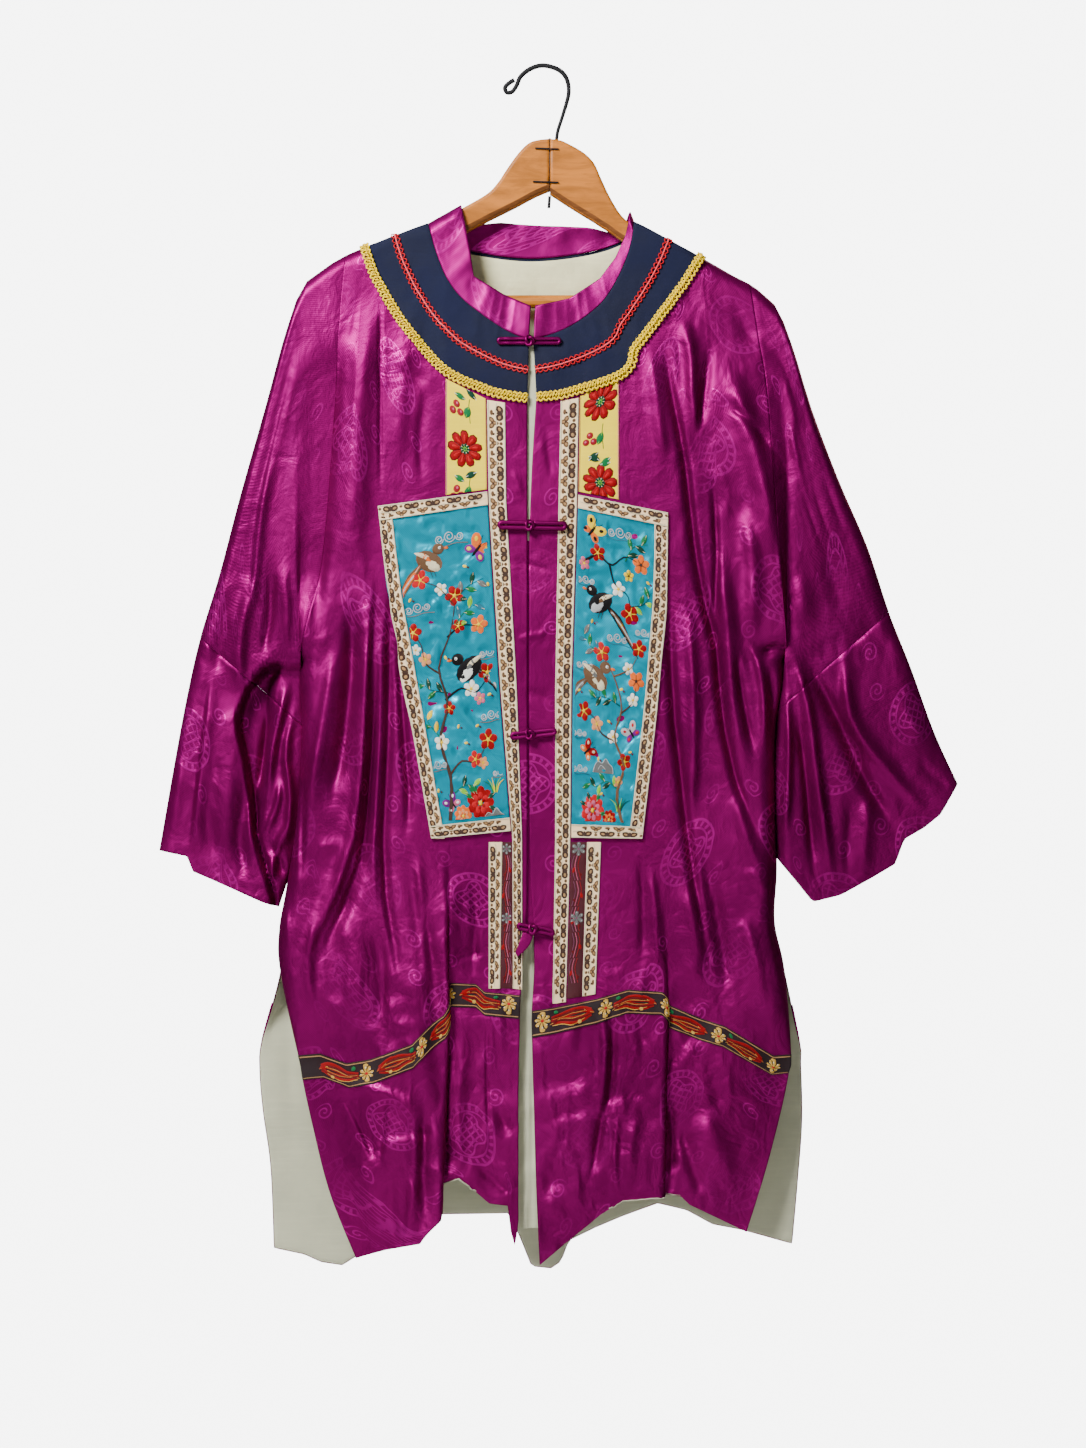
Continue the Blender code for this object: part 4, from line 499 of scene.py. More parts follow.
def front_sheet(side, place, share):
    """Points of a front. place is the row number, from 0 at the neck to 14 at the hem."""
    place, share = grid_of(place, share)
    row = smooth_table(FRONT_ROWS[side], place)
    centre, middle, pleat, edge, side_drop = (row[..., k] for k in range(5))
    across = mix(centre, edge, share)
    first = row_ends(side, 0)
    neck = top_edge(side, mix(first[0], first[2], share)) - mix(first[1], first[3], share)
    band = dip(BAND_FINE[side], row_ends(side, BAND_TOP_ROW), share)
    hem = dip(HEM_FINE[side], row_ends(side, HEM_ROW), share)
    blend = np.maximum(0.0, place - BAND_LOW_ROW) / (HEM_ROW - 0.01 - BAND_LOW_ROW)
    drop = mix(middle, side_drop, share) + neck * np.maximum(0.0, 1.0 - place / ARMPIT) ** 1.6
    above = band * ease(place, BAND_RISE_ROW, BAND_TOP_ROW - BAND_RISE_ROW)
    below = band * (1.0 - np.minimum(blend * 1.4, 1.0)) + hem * np.clip(blend * 2.0 - 1.0, 0.0, 1.0) ** 1.5
    drop = drop + np.where(place < BAND_TOP_ROW, above, below)
    depth = side_depth(front_height(across, drop), SLIT_FRONT, place, side_drop, np.abs(edge - across))
    depth = depth + pleat_height(side, across, drop, pleat)
    across = across + pleat_hang(side, across, drop, pleat)
    return np.stack([across, -depth, drop], -1)


def back_edge(across):
    left, right = YOKE_EDGE["left"][-1], YOKE_EDGE["right"][-1]
    middle, half = 0.5 * (left[0] + right[0]), 0.5 * (right[0] - left[0])
    off = np.minimum(np.abs(across - middle) / half, 1.0)
    curve = mix(np.where(across < middle, left[1], right[1]), BACK_YOKE_DROP, (1.0 - off ** 2.6) ** 0.8)
    return np.where((across <= left[0]) | (across >= right[0]), read(RIDGE_FINE, across), curve)


def back_sheet(place, share):
    place, share = grid_of(place, share)
    row = smooth_table(BACK_ROWS, place)
    left, left_drop, right, right_drop = (row[..., k] for k in range(4))
    across = mix(left, right, share)
    first = BACK_ROWS[0]
    top = back_edge(mix(first[0], first[2], share)) - mix(first[1], first[3], share)
    drop = mix(left_drop, right_drop, share) + top * np.maximum(0.0, 1.0 - place / ARMPIT) ** 1.6
    drop = drop + dip(HEM_FINE["back"], BACK_ROWS[-1], share) * ease(place, SLIT_ROW, HEM_ROW - SLIT_ROW)
    inset = np.minimum(across - left, right - across)
    edge_drop = np.where(share < 0.5, left_drop, right_drop)
    depth = side_depth(back_height(across, drop), SLIT_BACK, place, edge_drop, inset)
    return np.stack([across, depth, drop], -1)


def inner_tuck(across, drop):
    """The left sleeve's fold over a deep hollow, with the cloth of its back layer beyond."""
    fold, far = np.array(INNER_FOLD, float), np.array(HOLLOW_EDGE, float)
    edge = np.interp(drop, fold[:, 1], fold[:, 0])
    beyond = np.interp(drop, far[:, 1], far[:, 0])
    deep = ease((across - edge + 1.5) / 4.0)
    raised = ease((across - beyond + 3.0) / 9.0)
    return deep * (24.0 - 13.0 * raised) * ease((drop - 536.0) / 10.0)


def sleeve_sheet(side, place, count):
    """Rings of a sleeve, out along the front layer and home along the back layer."""
    even = np.linspace(0.0, 1.0, count)
    share = 0.55 * (0.5 - 0.5 * np.cos(np.pi * even)) + 0.45 * even
    fine = np.linspace(0.0, ARMPIT, 240)
    front0 = front_sheet(side, fine, [1.0])[:, 0]
    rear0 = back_sheet(fine, [0.0 if side == "left" else 1.0])[:, 0]
    steps = run_lengths(front0[:, [0, 2]])
    front0, rear0 = (look_up(share, steps / steps[-1], edge)[None] for edge in (front0, rear0))
    place = np.asarray(place, float)[:, None]
    row = smooth_table(SLEEVE_ROWS[side], place[:, 0])[:, None, :]
    length = np.hypot(row[..., 2] - row[..., 0], row[..., 3] - row[..., 1])
    start = np.maximum(0.0, 1.0 - place) ** 2
    across = mix(mix(row[..., 0], row[..., 2], share), front0[..., 0], start)
    drop = mix(mix(row[..., 1], row[..., 3], share), front0[..., 2], start)
    hang = np.maximum(0.0, (place - SEAM_ROW - 0.5) / (CUFF_ROW - SEAM_ROW - 0.5)) ** 1.5
    drop = drop + hang * read(dense(CUFF[side], 200, smooth=False), share)[None, :]
    settle, grown = ease(place / 3.0), ease(place / 2.0)
    lens = rounded(share * length, SLEEVE_RADIUS) * rounded((1.0 - share) * length, SLEEVE_RADIUS) * settle
    folds = fold_height(SLEEVE_FOLDS, across, drop)
    folds = FOLD_GAIN * (folds + fold_height(FRONT_FOLDS, across, drop) * ease(1.0 - (place - 1.0) / 3.0))
    fine = 0.8 * waver(across * 1.2, drop * 0.7, 32.0, 4) + 0.45 * crinkle(across, drop, 26.0, 5)
    tilt = -7.0 * (np.abs(across) - 270.0) / 90.0
    swell = folds + (fine + 0.3 * crinkle(across, drop, 13.0, 6) + tilt) * grown
    tuck = inner_tuck(across, drop) if side == "left" else 0.0
    rear = SLEEVE_BACK + 1.5 * waver(across * 1.4, drop * 0.6, 36.0, 6) * grown
    y_front = front0[..., 1] * (1.0 - settle) - (SLEEVE_FRONT + swell - tuck) * lens
    y_rear = rear0[..., 1] * (1.0 - settle) + rear * lens
    front = np.stack([across, np.minimum(y_front, y_rear - 3.0 * lens), drop], -1)
    back = np.stack([across, y_rear, drop], -1)
    return np.concatenate([front, back[:, -2:0:-1]], axis=1)


# Meshes

def scene_points(points):
    points = np.asarray(points, float).reshape(-1, 3)
    return np.stack([points[:, 0], points[:, 1], -points[:, 2]], 1) / 1000.0


def arc_lengths(points, axis):
    steps = np.linalg.norm(np.diff(points, axis=axis), axis=2)
    pad = [(0, 0), (0, 0)]
    pad[axis] = (1, 0)
    return np.pad(np.cumsum(steps, axis=axis), pad)


def unit(vectors):
    return vectors / np.maximum(np.linalg.norm(vectors, axis=-1, keepdims=True), 1e-9)


def link(name, data):
    thing = bpy.data.objects.new(name, data)
    bpy.context.scene.collection.objects.link(thing)
    return thing


def finish_piece(piece, nodes=()):
    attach(piece, "root")
    if nodes:
        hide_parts(*nodes)
    return piece


def make_piece(name, verts, faces, paints, uv=None, index=None, smooth=True):
    """verts in metres, faces as an array of quads or a list of polygons."""
    mesh = bpy.data.meshes.new(name)
    mesh.from_pydata(verts.tolist(), [], faces.tolist() if isinstance(faces, np.ndarray) else faces)
    for paint in paints:
        mesh.materials.append(paint)
    if index is not None:
        mesh.polygons.foreach_set("material_index", np.asarray(index, np.int32))
    if uv is not None:
        loops = np.zeros(len(mesh.loops), np.int32)
        mesh.loops.foreach_get("vertex_index", loops)
        layer = mesh.uv_layers.new(name="cloth")
        layer.data.foreach_set("uv", np.asarray(uv, np.float32)[loops].ravel())
    if smooth:
        mesh.shade_smooth()
    return link(name, mesh)


def grid_faces(rows, columns, wrap=False):
    spans = columns if wrap else columns - 1
    i, j = np.meshgrid(np.arange(rows - 1), np.arange(spans), indexing="ij")
    a = i * columns + j
    b = i * columns + (j + 1) % columns
    return np.stack([a, a + columns, b + columns, b], -1).reshape(-1, 4)


def declare_sheet(piece, points, wrap=False):
    """States the flat cut: width and length of the rectangle it is cut from, and its area.
    A tube is opened at its inner edge and laid out on both sides of its outer edge."""
    loop = np.concatenate([points, points[:, :1]], axis=1) if wrap else points
    width = arc_lengths(loop, 1)[:, -1].max() / 1000.0
    length = arc_lengths(loop, 0)[-1].max() / 1000.0
    a, b, c, d = loop[:-1, :-1], loop[:-1, 1:], loop[1:, 1:], loop[1:, :-1]
    area = np.linalg.norm(np.cross(c - a, d - b), axis=-1).sum() / 2.0e6
    if wrap:
        half = points.shape[1] // 2
        run = unit((points[-1, 0] - points[0, 0]) * (1.0, 0.0, 1.0))
        flat = (points[:, :half] - points[0, 0]) * (1.0, 0.0, 1.0)
        beside = np.abs(np.cross(flat, run)[..., 1]).max()
        below = (flat @ run).max() - (flat @ run).min()
        girth = arc_lengths(loop, 1)[-1, -1] / np.linalg.norm(points[-1, half] - points[-1, 0])
        width, length = beside * girth / 1000.0, below / 1000.0
    area = min(area, width * length)
    print("SHEET %s %.0f x %.0f mm, %.4f m2" % (piece.name, width * 1000, length * 1000, area))


def cloth(name, points, paints, nodes=(), thickness=WALL, wrap=False, flip=False, start=(0.0, 0.0),
          sheet=False):
    """A thin shell: the points are its outer face."""
    rows, columns = points.shape[:2]
    faces = grid_faces(rows, columns, wrap)
    if flip:
        faces = faces[:, ::-1]
    v = arc_lengths(points, 0)
    v = 0.5 * v + 0.5 * v.mean(axis=1, keepdims=True) + start[1]
    uv = np.stack([arc_lengths(points, 1) + start[0], v], -1).reshape(-1, 2) / 1000.0
    piece = make_piece(name, scene_points(points), faces, paints, uv)
    shell = piece.modifiers.new("wall", "SOLIDIFY")
    shell.thickness = thickness / 1000.0
    shell.offset = -1.0
    shell.use_even_offset = False
    if len(paints) > 1:
        shell.material_offset = 1
    piece.modifiers.new("flat_edges", "WEIGHTED_NORMAL")
    finish_piece(piece, nodes)
    if sheet:
        declare_sheet(piece, points, wrap)


def grid_normals(points, towards):
    """Unit normals of a grid, on the side that towards picks."""
    normals = unit(np.cross(np.gradient(points, axis=1), np.gradient(points, axis=0)))
    sign = np.sign((normals * np.asarray(towards)).sum(-1, keepdims=True))
    return normals * np.where(sign == 0, 1, sign)


def front_points(side, across, drop, lift=0.0):
    """Points on a front, raised off the cloth."""
    def height(x, z):
        return front_height(x, z) + pleat_height(side, x, z, pleat_line(side, z))
    across, drop = np.broadcast_arrays(np.asarray(across, float), np.asarray(drop, float))
    here = height(across, drop)
    slope_x = (height(across + 0.8, drop) - height(across - 0.8, drop)) / 1.6
    slope_z = (height(across, drop + 0.8) - height(across, drop - 0.8)) / 1.6
    normal = unit(np.stack([-slope_x, -np.ones_like(here), -slope_z], -1))
    return np.stack([across, -here, drop], -1) + normal * np.asarray(lift)[..., None]


def tubes(name, paths, radius, paint, nodes=(), sides=6, normals=None, closed=False):
    """One piece of tubes along many paths, (n, 3) each, in mm."""
    verts, faces, base = [], [], 0
    turn = 2.0 * np.pi * (np.arange(sides) + 0.5) / sides
    for number, path in enumerate(paths):
        path = np.asarray(path, float)
        n = len(path)
        run = unit(np.roll(path, -1, 0) - np.roll(path, 1, 0) if closed else np.gradient(path, axis=0))
        up = np.array([[0.0, -1.0, 0.0]]) if normals is None else np.asarray(normals[number], float)
        up = unit(up - (up * run).sum(1, keepdims=True) * run)
        over = np.cross(run, up)
        size = np.broadcast_to(np.asarray(radius, float), (n,))[:, None, None]
        ring = over[:, None] * np.cos(turn)[None, :, None] + up[:, None] * np.sin(turn)[None, :, None]
        verts.append((path[:, None] + ring * size).reshape(-1, 3))
        quads = grid_faces(n + 1 if closed else n, sides, True)
        faces += (quads % (n * sides) + base).tolist()
        if not closed:
            faces.append([base + k for k in range(sides)])
            faces.append([base + (n - 1) * sides + k for k in reversed(range(sides))])
        base += n * sides
    finish_piece(make_piece(name, scene_points(np.concatenate(verts)), faces, [paint]), nodes)


# Materials

class Value:
    """A number, colour or place that nodes work out for each point of a piece."""

    def __init__(self, paint, socket):
        self.paint, self.socket = paint, socket

    def does(self, how, other=0.0):
        return self.paint.node("ShaderNodeMath", {0: self, 1: other}, operation=how)

    def __add__(self, other):
        return self.does("ADD", other)

    def __sub__(self, other):
        return self.does("SUBTRACT", other)

    def __mul__(self, other):
        return self.does("MULTIPLY", other)

    def __truediv__(self, other):
        return self.does("DIVIDE", other)

    def ramp(self, low, high, first=0.0, second=1.0):
        values = {"Value": self, "From Min": low, "From Max": high, "To Min": first, "To Max": second}
        return self.paint.node("ShaderNodeMapRange", values, interpolation_type="SMOOTHSTEP")


class Paint:
    """A material built from nodes; every colour and number is set here."""

    def __init__(self, name, colour, rough, metal=0.0, specular=0.5, tint=None, sheen=0.0, sheen_tint=None,
                 sheen_rough=0.4):
        self.material = bpy.data.materials.new(name)
        self.material.use_nodes = True
        self.tree = self.material.node_tree
        self.shader = self.tree.nodes["Principled BSDF"]
        self.place = self.node("ShaderNodeTexCoord", out="Object")
        self.normal = None
        self.set({"Base Color": colour, "Roughness": rough, "Metallic": metal, "Specular IOR Level": specular,
                  "Specular Tint": tint, "Sheen Weight": sheen, "Sheen Tint": sheen_tint,
                  "Sheen Roughness": sheen_rough})

    def set(self, values, node=None):
        for key, value in values.items():
            socket = (node or self.shader).inputs[key]
            if isinstance(value, Value):
                self.tree.links.new(value.socket, socket)
            elif value is not None:
                colour = isinstance(value, tuple) and len(socket.default_value) == 4
                socket.default_value = (*value, 1.0) if colour else value

    def node(self, kind, inputs=(), out=0, **values):
        made = self.tree.nodes.new(kind)
        for key, value in values.items():
            setattr(made, key, value)
        self.set(dict(inputs), made)
        return Value(self, made.outputs[out])

    def noise(self, where, scale, detail=2.0, rough=0.5, warp=0.0):
        values = {"Vector": where, "Scale": scale, "Detail": detail, "Roughness": rough, "Distortion": warp}
        return self.node("ShaderNodeTexNoise", values, out="Fac")

    def stretch(self, scale):
        return self.node("ShaderNodeMapping", {"Vector": self.place, "Scale": scale})

    def parts(self, where):
        made = self.node("ShaderNodeSeparateXYZ", {0: where}).socket.node
        return [Value(self, socket) for socket in made.outputs]

    def mix(self, share, first, second):
        return self.node("ShaderNodeMix", {0: share, 6: first, 7: second}, out=2, data_type="RGBA")

    def bump(self, height, distance, strength=1.0):
        values = {"Distance": distance, "Strength": strength, "Height": height, "Normal": self.normal}
        self.normal = self.node("ShaderNodeBump", values)
        self.set({"Normal": self.normal})


def shade(colour, factor):
    return tuple(min(1.0, c * factor) for c in colour)


def damask(u, v):
    """Round lattices in half-drop rows, with lozenges and small curls between them."""
    wide, tall, radius, lozenge, curl_pitch = 96.0, 108.0, 26.0, 8.4, 4.6
    row = v / tall
    shift = row.does("FLOOR").does("FLOORED_MODULO", 2.0) * 0.5
    cx = ((u / wide + shift).does("FRACT") - 0.5) * wide
    cy = (row.does("FRACT") - 0.5) * tall
    r = (cx * cx + cy * cy).does("SQRT")
    angle = cy.does("ARCTAN2", cx)

    def line(value, middle, half, soft=0.5):
        return (value - middle).does("ABSOLUTE").ramp(half, half + soft, 1.0, 0.0)

    def either(first, *others):
        for other in others:
            first = first.does("MAXIMUM", other)
        return first

    def wave(size, middle):
        return r - ((angle * 4.0).does("COSINE") * size + middle)

    rings = either(line(r, radius, 0.7), line(r, radius - 6.0, 0.5))
    ticks = (angle * (22.0 / (2.0 * math.pi))).does("FRACT").ramp(0.36, 0.46, 1.0, 0.0)
    ticks = ticks * line(r, radius - 3.0, 1.6)
    first = ((cx + cy) / lozenge).does("FRACT")
    second = ((cx - cy) / lozenge).does("FRACT")
    lattice = either(line(first, 0.5, 0.09, 0.06), line(second, 0.5, 0.09, 0.06))
    lattice = lattice * wave(3.2, 13.5).ramp(-0.6, 0.0, 1.0, 0.0)
    loops = either(line(wave(3.2, 15.0), 0.0, 0.7), line(wave(-2.4, 6.0), 0.0, 0.5))
    sx, sy = cx.does("ABSOLUTE") - 27.0, cy.does("ABSOLUTE") - 38.0
    sr = (sx * sx + sy * sy).does("SQRT")
    curl = (sr / curl_pitch + sy.does("ARCTAN2", sx) / (2.0 * math.pi)).does("FRACT")
    curl = line(curl, 0.5, 0.12, 0.08) * sr.ramp(8.0, 8.8, 1.0, 0.0)
    return either(rings, ticks, lattice, loops, curl)


def satin_paint(name, colour, motif, figured=True, rough=0.46, metal=0.78, crumple=1.0):
    paint = Paint(name, colour, rough, metal=metal, specular=0.05, tint=motif)
    u, v, _ = paint.parts(paint.node("ShaderNodeUVMap", uv_map="cloth"))
    u, v, place = u * 1000.0, v * 1000.0, paint.place
    tone = paint.noise(place, 9.0, 3.0, 0.55)
    ground = paint.mix(tone.ramp(0.3, 0.7), shade(colour, 0.86), shade(colour, 1.12))
    twill = (((u + v * 0.8) * 3.6).does("SINE") + 1.0) * 0.5
    ground = paint.mix(twill * 0.3, ground, shade(colour, 0.5))
    gloss = tone.ramp(0.3, 0.7, rough - 0.04, rough + 0.05)
    if figured:
        mask = damask(u, v) * paint.noise(place, 11.0, 2.0).ramp(0.38, 0.62, 0.12, 1.0)
        ground = paint.mix(mask * 0.6, ground, motif)
        gloss = gloss - mask * 0.08
        paint.bump(mask, 0.00012, 0.6)
    paint.set({"Roughness": gloss, "Base Color": ground})
    ridges = (paint.noise(paint.stretch((1.0, 1.0, 0.75)), 27.0, 2.5, 0.5, 1.2) - 0.5).does("ABSOLUTE")
    lower = paint.parts(place)[2].ramp(-0.90, -0.60, 1.0, 0.28)
    paint.bump(ridges * lower, 0.006 * crumple, 0.55)
    paint.bump(paint.noise(place, 30.0, 4.0, 0.55, 1.0), 0.0032 * crumple, 0.5)
    paint.bump(paint.noise(place, 190.0, 2.0), 0.0003, 0.4)
    paint.bump(twill, 0.00008, 0.5)
    return paint.material


def plain_cloth(name, colour, rough=0.85, thread=1.1, sheen=0.2, tone=0.12, crease=0.0012):
    paint = Paint(name, colour, rough, sheen=sheen, sheen_tint=shade(colour, 2.0), specular=0.25)
    x, y, z = paint.parts(paint.place)
    rate = 2000.0 * math.pi / thread
    weave = (x * rate).does("SINE") * (z * rate).does("SINE")
    cloud = paint.noise(paint.place, 18.0, 4.0, 0.6)
    slub = paint.noise(paint.stretch((30.0, 30.0, 400.0)), 1.0, 2.0)
    base = paint.mix(cloud.ramp(0.3, 0.7), shade(colour, 1.0 - tone), shade(colour, 1.0 + tone))
    base = paint.mix(slub.ramp(0.45, 0.75, 0.0, 0.25), base, shade(colour, 1.25))
    base = paint.mix(weave.ramp(-0.2, 1.0, 0.0, 0.16), base, shade(colour, 0.6))
    paint.set({"Base Color": base, "Roughness": cloud.ramp(0.3, 0.7, rough - 0.06, rough + 0.06)})
    paint.bump(paint.noise(paint.place, 34.0, 3.0, 0.55, 0.4), crease, 0.5)
    paint.bump(weave, 0.0001, 0.7)
    return paint.material


def thread_paint(name, colour, rough=0.5, sheen=0.08, pitch=0.7, turn=0.6):
    """Stitched or twisted yarn."""
    paint = Paint(name, colour, rough, specular=0.2, sheen=sheen, sheen_tint=shade(colour, 1.6),
                  sheen_rough=0.3)
    x, y, z = paint.parts(paint.place)
    loose = paint.noise(paint.place, 220.0, 2.0) * 0.0012
    wave = ((x * math.cos(turn) + z * math.sin(turn) + loose) * (2000.0 * math.pi / pitch)).does("SINE")
    grain = paint.noise(paint.place, 900.0, 2.0)
    base = paint.mix(wave.ramp(-1.0, 1.0, 0.0, 0.4), colour, shade(colour, 0.55))
    base = paint.mix(grain.ramp(0.4, 0.8, 0.0, 0.4), base, shade(colour, 1.5))
    paint.set({"Base Color": base, "Roughness": grain.ramp(0.3, 0.7, rough - 0.1, rough + 0.1)})
    paint.bump(wave, 0.00018, 0.8)
    return paint.material


def wood_paint(name, colour):
    paint = Paint(name, colour, 0.5, specular=0.2)
    grain = paint.noise(paint.stretch((14.0, 60.0, 90.0)), 1.0, 5.0, 0.65, 1.2)
    fine = paint.noise(paint.stretch((60.0, 500.0, 700.0)), 1.0, 3.0, 0.6)
    stain = paint.noise(paint.place, 22.0, 3.0, 0.5)
    base = paint.mix(grain.ramp(0.32, 0.68), shade(colour, 0.72), shade(colour, 1.22))
    base = paint.mix(fine.ramp(0.5, 0.8, 0.0, 0.45), base, shade(colour, 0.45))
    base = paint.mix(stain.ramp(0.52, 0.75, 0.0, 0.35), base, shade(colour, 0.6))
    paint.set({"Base Color": base, "Roughness": grain.ramp(0.3, 0.7, 0.42, 0.58)})
    paint.bump(fine, 0.0002, 0.3)
    return paint.material


def wire_paint(name, colour):
    paint = Paint(name, colour, 0.6, specular=0.12)
    spots = paint.noise(paint.place, 400.0, 3.0)
    base = paint.mix(spots.ramp(0.5, 0.8), colour, shade(colour, 3.0))
    paint.set({"Base Color": base, "Roughness": spots.ramp(0.3, 0.8, 0.5, 0.7)})
    paint.bump(spots, 0.0001, 0.3)
    return paint.material


MAGENTA, MAGENTA_LIGHT = (0.195, 0.0008, 0.090), (0.46, 0.006, 0.25)
SATIN = satin_paint("satin_figured", MAGENTA, MAGENTA_LIGHT)
COLLAR_SATIN = satin_paint("satin_collar", (0.23, 0.001, 0.11), (0.50, 0.008, 0.28), crumple=0.35)
SATIN_PLAIN = satin_paint("satin_plain", MAGENTA, MAGENTA_LIGHT, figured=False)
FROG = satin_paint("frog_satin", (0.15, 0.001, 0.07), (0.32, 0.004, 0.15), figured=False, rough=0.42,
                   crumple=0.1)
TURQUOISE = satin_paint("turquoise_satin", (0.0, 0.29, 0.41), (0.0, 0.5, 0.65), figured=False, rough=0.34,
                        metal=0.6, crumple=1.1)
LINING = plain_cloth("lining_cotton", (0.47, 0.47, 0.33), thread=1.3, tone=0.08)
NECK_LINING = plain_cloth("neck_lining_cotton", (0.74, 0.71, 0.42), thread=1.3, tone=0.08, crease=0.004)
NAVY = plain_cloth("navy_cotton", (0.0035, 0.0055, 0.024), thread=1.0, sheen=0.04, tone=0.15, crease=0.0008)
CREAM = plain_cloth("cream_tape", (0.92, 0.66, 0.38), thread=0.9, sheen=0.05, tone=0.06, crease=0.0004)
YELLOW_RIBBON = plain_cloth("yellow_ribbon", (0.84, 0.62, 0.01), thread=0.9, sheen=0.05, tone=0.05,
                            crease=0.0004)
MAROON = plain_cloth("maroon_brocade", (0.05, 0.003, 0.008), rough=0.6, thread=0.8, sheen=0.05, tone=0.25,
                     crease=0.0004)
BLACK = plain_cloth("black_brocade", (0.012, 0.003, 0.005), rough=0.6, thread=0.8, sheen=0.05, tone=0.2,
                    crease=0.0004)
WOOD = wood_paint("hanger_wood", (0.40, 0.128, 0.013))
# painted shade: a darker copy of the hanger wood, for the strip along each arm's foot
WOOD_PAINTED_SHADE = wood_paint("hanger_wood_painted_shade", (0.13, 0.042, 0.008))
WOOD_JOINT = wood_paint("hanger_wood_joint", (0.03, 0.012, 0.004))
WIRE = wire_paint("hook_wire", (0.008, 0.008, 0.009))
THREADS = {
    "red": (0.30, 0.001, 0.004), "bright red": (0.52, 0.008, 0.014), "dark red": (0.11, 0.001, 0.004),
    "yellow": (0.90, 0.58, 0.01), "gold": (0.62, 0.36, 0.06), "brown": (0.045, 0.020, 0.012),
    "umber": (0.13, 0.065, 0.030), "tan": (0.40, 0.22, 0.09), "cream": (0.78, 0.66, 0.44),
    "green": (0.008, 0.16, 0.045), "dark green": (0.004, 0.045, 0.025), "light green": (0.22, 0.55, 0.03),
    "orange": (0.75, 0.13, 0.01), "grey": (0.12, 0.125, 0.12), "silver": (0.45, 0.46, 0.47),
    "white": (0.88, 0.88, 0.80), "black": (0.006, 0.005, 0.006), "purple": (0.16, 0.01, 0.20),
    "pink": (0.62, 0.12, 0.22), "berry": (0.30, 0.01, 0.02), "mauve": (0.20, 0.05, 0.11),
    "peach": (0.72, 0.28, 0.12), "teal": (0.01, 0.13, 0.19),
}
THREAD = {key: thread_paint("thread_" + key.replace(" ", "_"), value, turn=0.4 + 0.37 * k)
          for k, (key, value) in enumerate(THREADS.items())}
YELLOW_CORD = thread_paint("yellow_gimp", (0.86, 0.57, 0.0), rough=0.45, sheen=0.0, pitch=1.3, turn=0.9)
RED_CORD = thread_paint("red_cord", (0.80, 0.06, 0.08), rough=0.45, sheen=0.1, pitch=1.2, turn=0.9)


# Fronts and back

def row_places(first, last, table, step):
    """Row numbers about this far apart in mm."""
    lengths = np.linalg.norm(np.diff(np.array(table, float)[:, -2:], axis=0), axis=1)
    places = [float(first)]
    for k in range(first, last):
        count = max(2, math.ceil(lengths[k] / step))
        places += [k + (j + 1) / count for j in range(count)]
    return places


for side in SIDES:
    places = row_places(0, HEM_ROW, FRONT_ROWS[side], FRONT_STEP)
    cloth("front_cloth_" + side, front_sheet(side, places, np.linspace(0.0, 1.0, FRONT_COLUMNS)),
          [SATIN, LINING], ["front_" + side], flip=side == "left", sheet=True)
back_places = row_places(0, HEM_ROW, BACK_ROWS, BACK_STEP)
BACK = back_sheet(back_places, np.linspace(0.0, 1.0, BACK_COLUMNS))
cloth("back_cloth", BACK, [SATIN, LINING], ["back", "skirt_lining"], flip=True, sheet=True)

# Cloth behind the front opening: pale lining at the yoke, satin below it, lining again under the last frog

for name, slot, paint, first, last, inner, outer, behind in (
        ("front_edge_lining", "lining", LINING, 252.0, 428.0, -17.5, -3.0, 2.4),
        ("front_edge_facing", "satin", SATIN_PLAIN, 428.0, 772.0, -19.0, -3.0, 2.4),
        ("opening_lining", "lining", LINING, 770.0, 1044.0, -29.0, -1.0, 9.0)):
    drop, across = np.meshgrid(np.linspace(first, last, 60), np.linspace(inner, outer, 12), indexing="ij")
    ripple = 1.1 * np.sin((across + 0.02 * (drop - 770.0)) * 0.8) * ease(drop, 760.0, 60.0)
    points = np.stack([across, -front_height(across, drop) + behind + ripple, drop], -1)
    cloth(name, points, [paint], thickness=0.6)

# Sleeves

for side in SIDES:
    for part, low, high, inside, start in (("", 0, SEAM_ROW, SATIN_PLAIN, 0.0),
                                           ("_end", SEAM_ROW, CUFF_ROW, LINING, 400.0)):
        places = np.array(row_places(low, high, SLEEVE_ROWS[side], SLEEVE_STEP))
        points = sleeve_sheet(side, places, SLEEVE_COLUMNS)
        if part:
            points[..., 2] += SEAM_GAP * np.linspace(1.0, 0.0, len(places))[:, None] ** 6
        cloth("sleeve_cloth_" + side + part, points, [SATIN, inside], ["sleeve_" + side + part],
              wrap=True, flip=side == "right", start=(30.0, start), sheet=True)


# Neck

def neck_parts(count):
    """Yoke edge, neck seam, collar top and side at even stations from the left front round the back.
    The side is -1 on the fronts and 1 on the back."""
    across = np.linspace(YOKE_EDGE["left"][-1][0], YOKE_EDGE["right"][-1][0], 400)
    rear = dense(np.stack([across, back_edge(across)], 1), 400, smooth=False)
    even = np.linspace(0.0, 1.0, count)
    parts = []
    for which, line, share, out in (("left", EDGE_FINE["left"], even, -1.0), ("back", rear, even[1:-1], 1.0),
                                    ("right", EDGE_FINE["right"], even[::-1], -1.0)):
        lines = (line, SEAM_FINE[which], TOP_FINE[which])
        parts.append(np.column_stack([along(each, share) for each in lines] + [np.full(len(share), out)]))
    table = np.vstack(parts)
    return table[:, 0:2], table[:, 2:4], table[:, 4:6], table[:, 6]


def neck_depth(flat, outward):
    return np.where(outward > 0.0, back_height(*flat.T), -front_height(*flat.T))


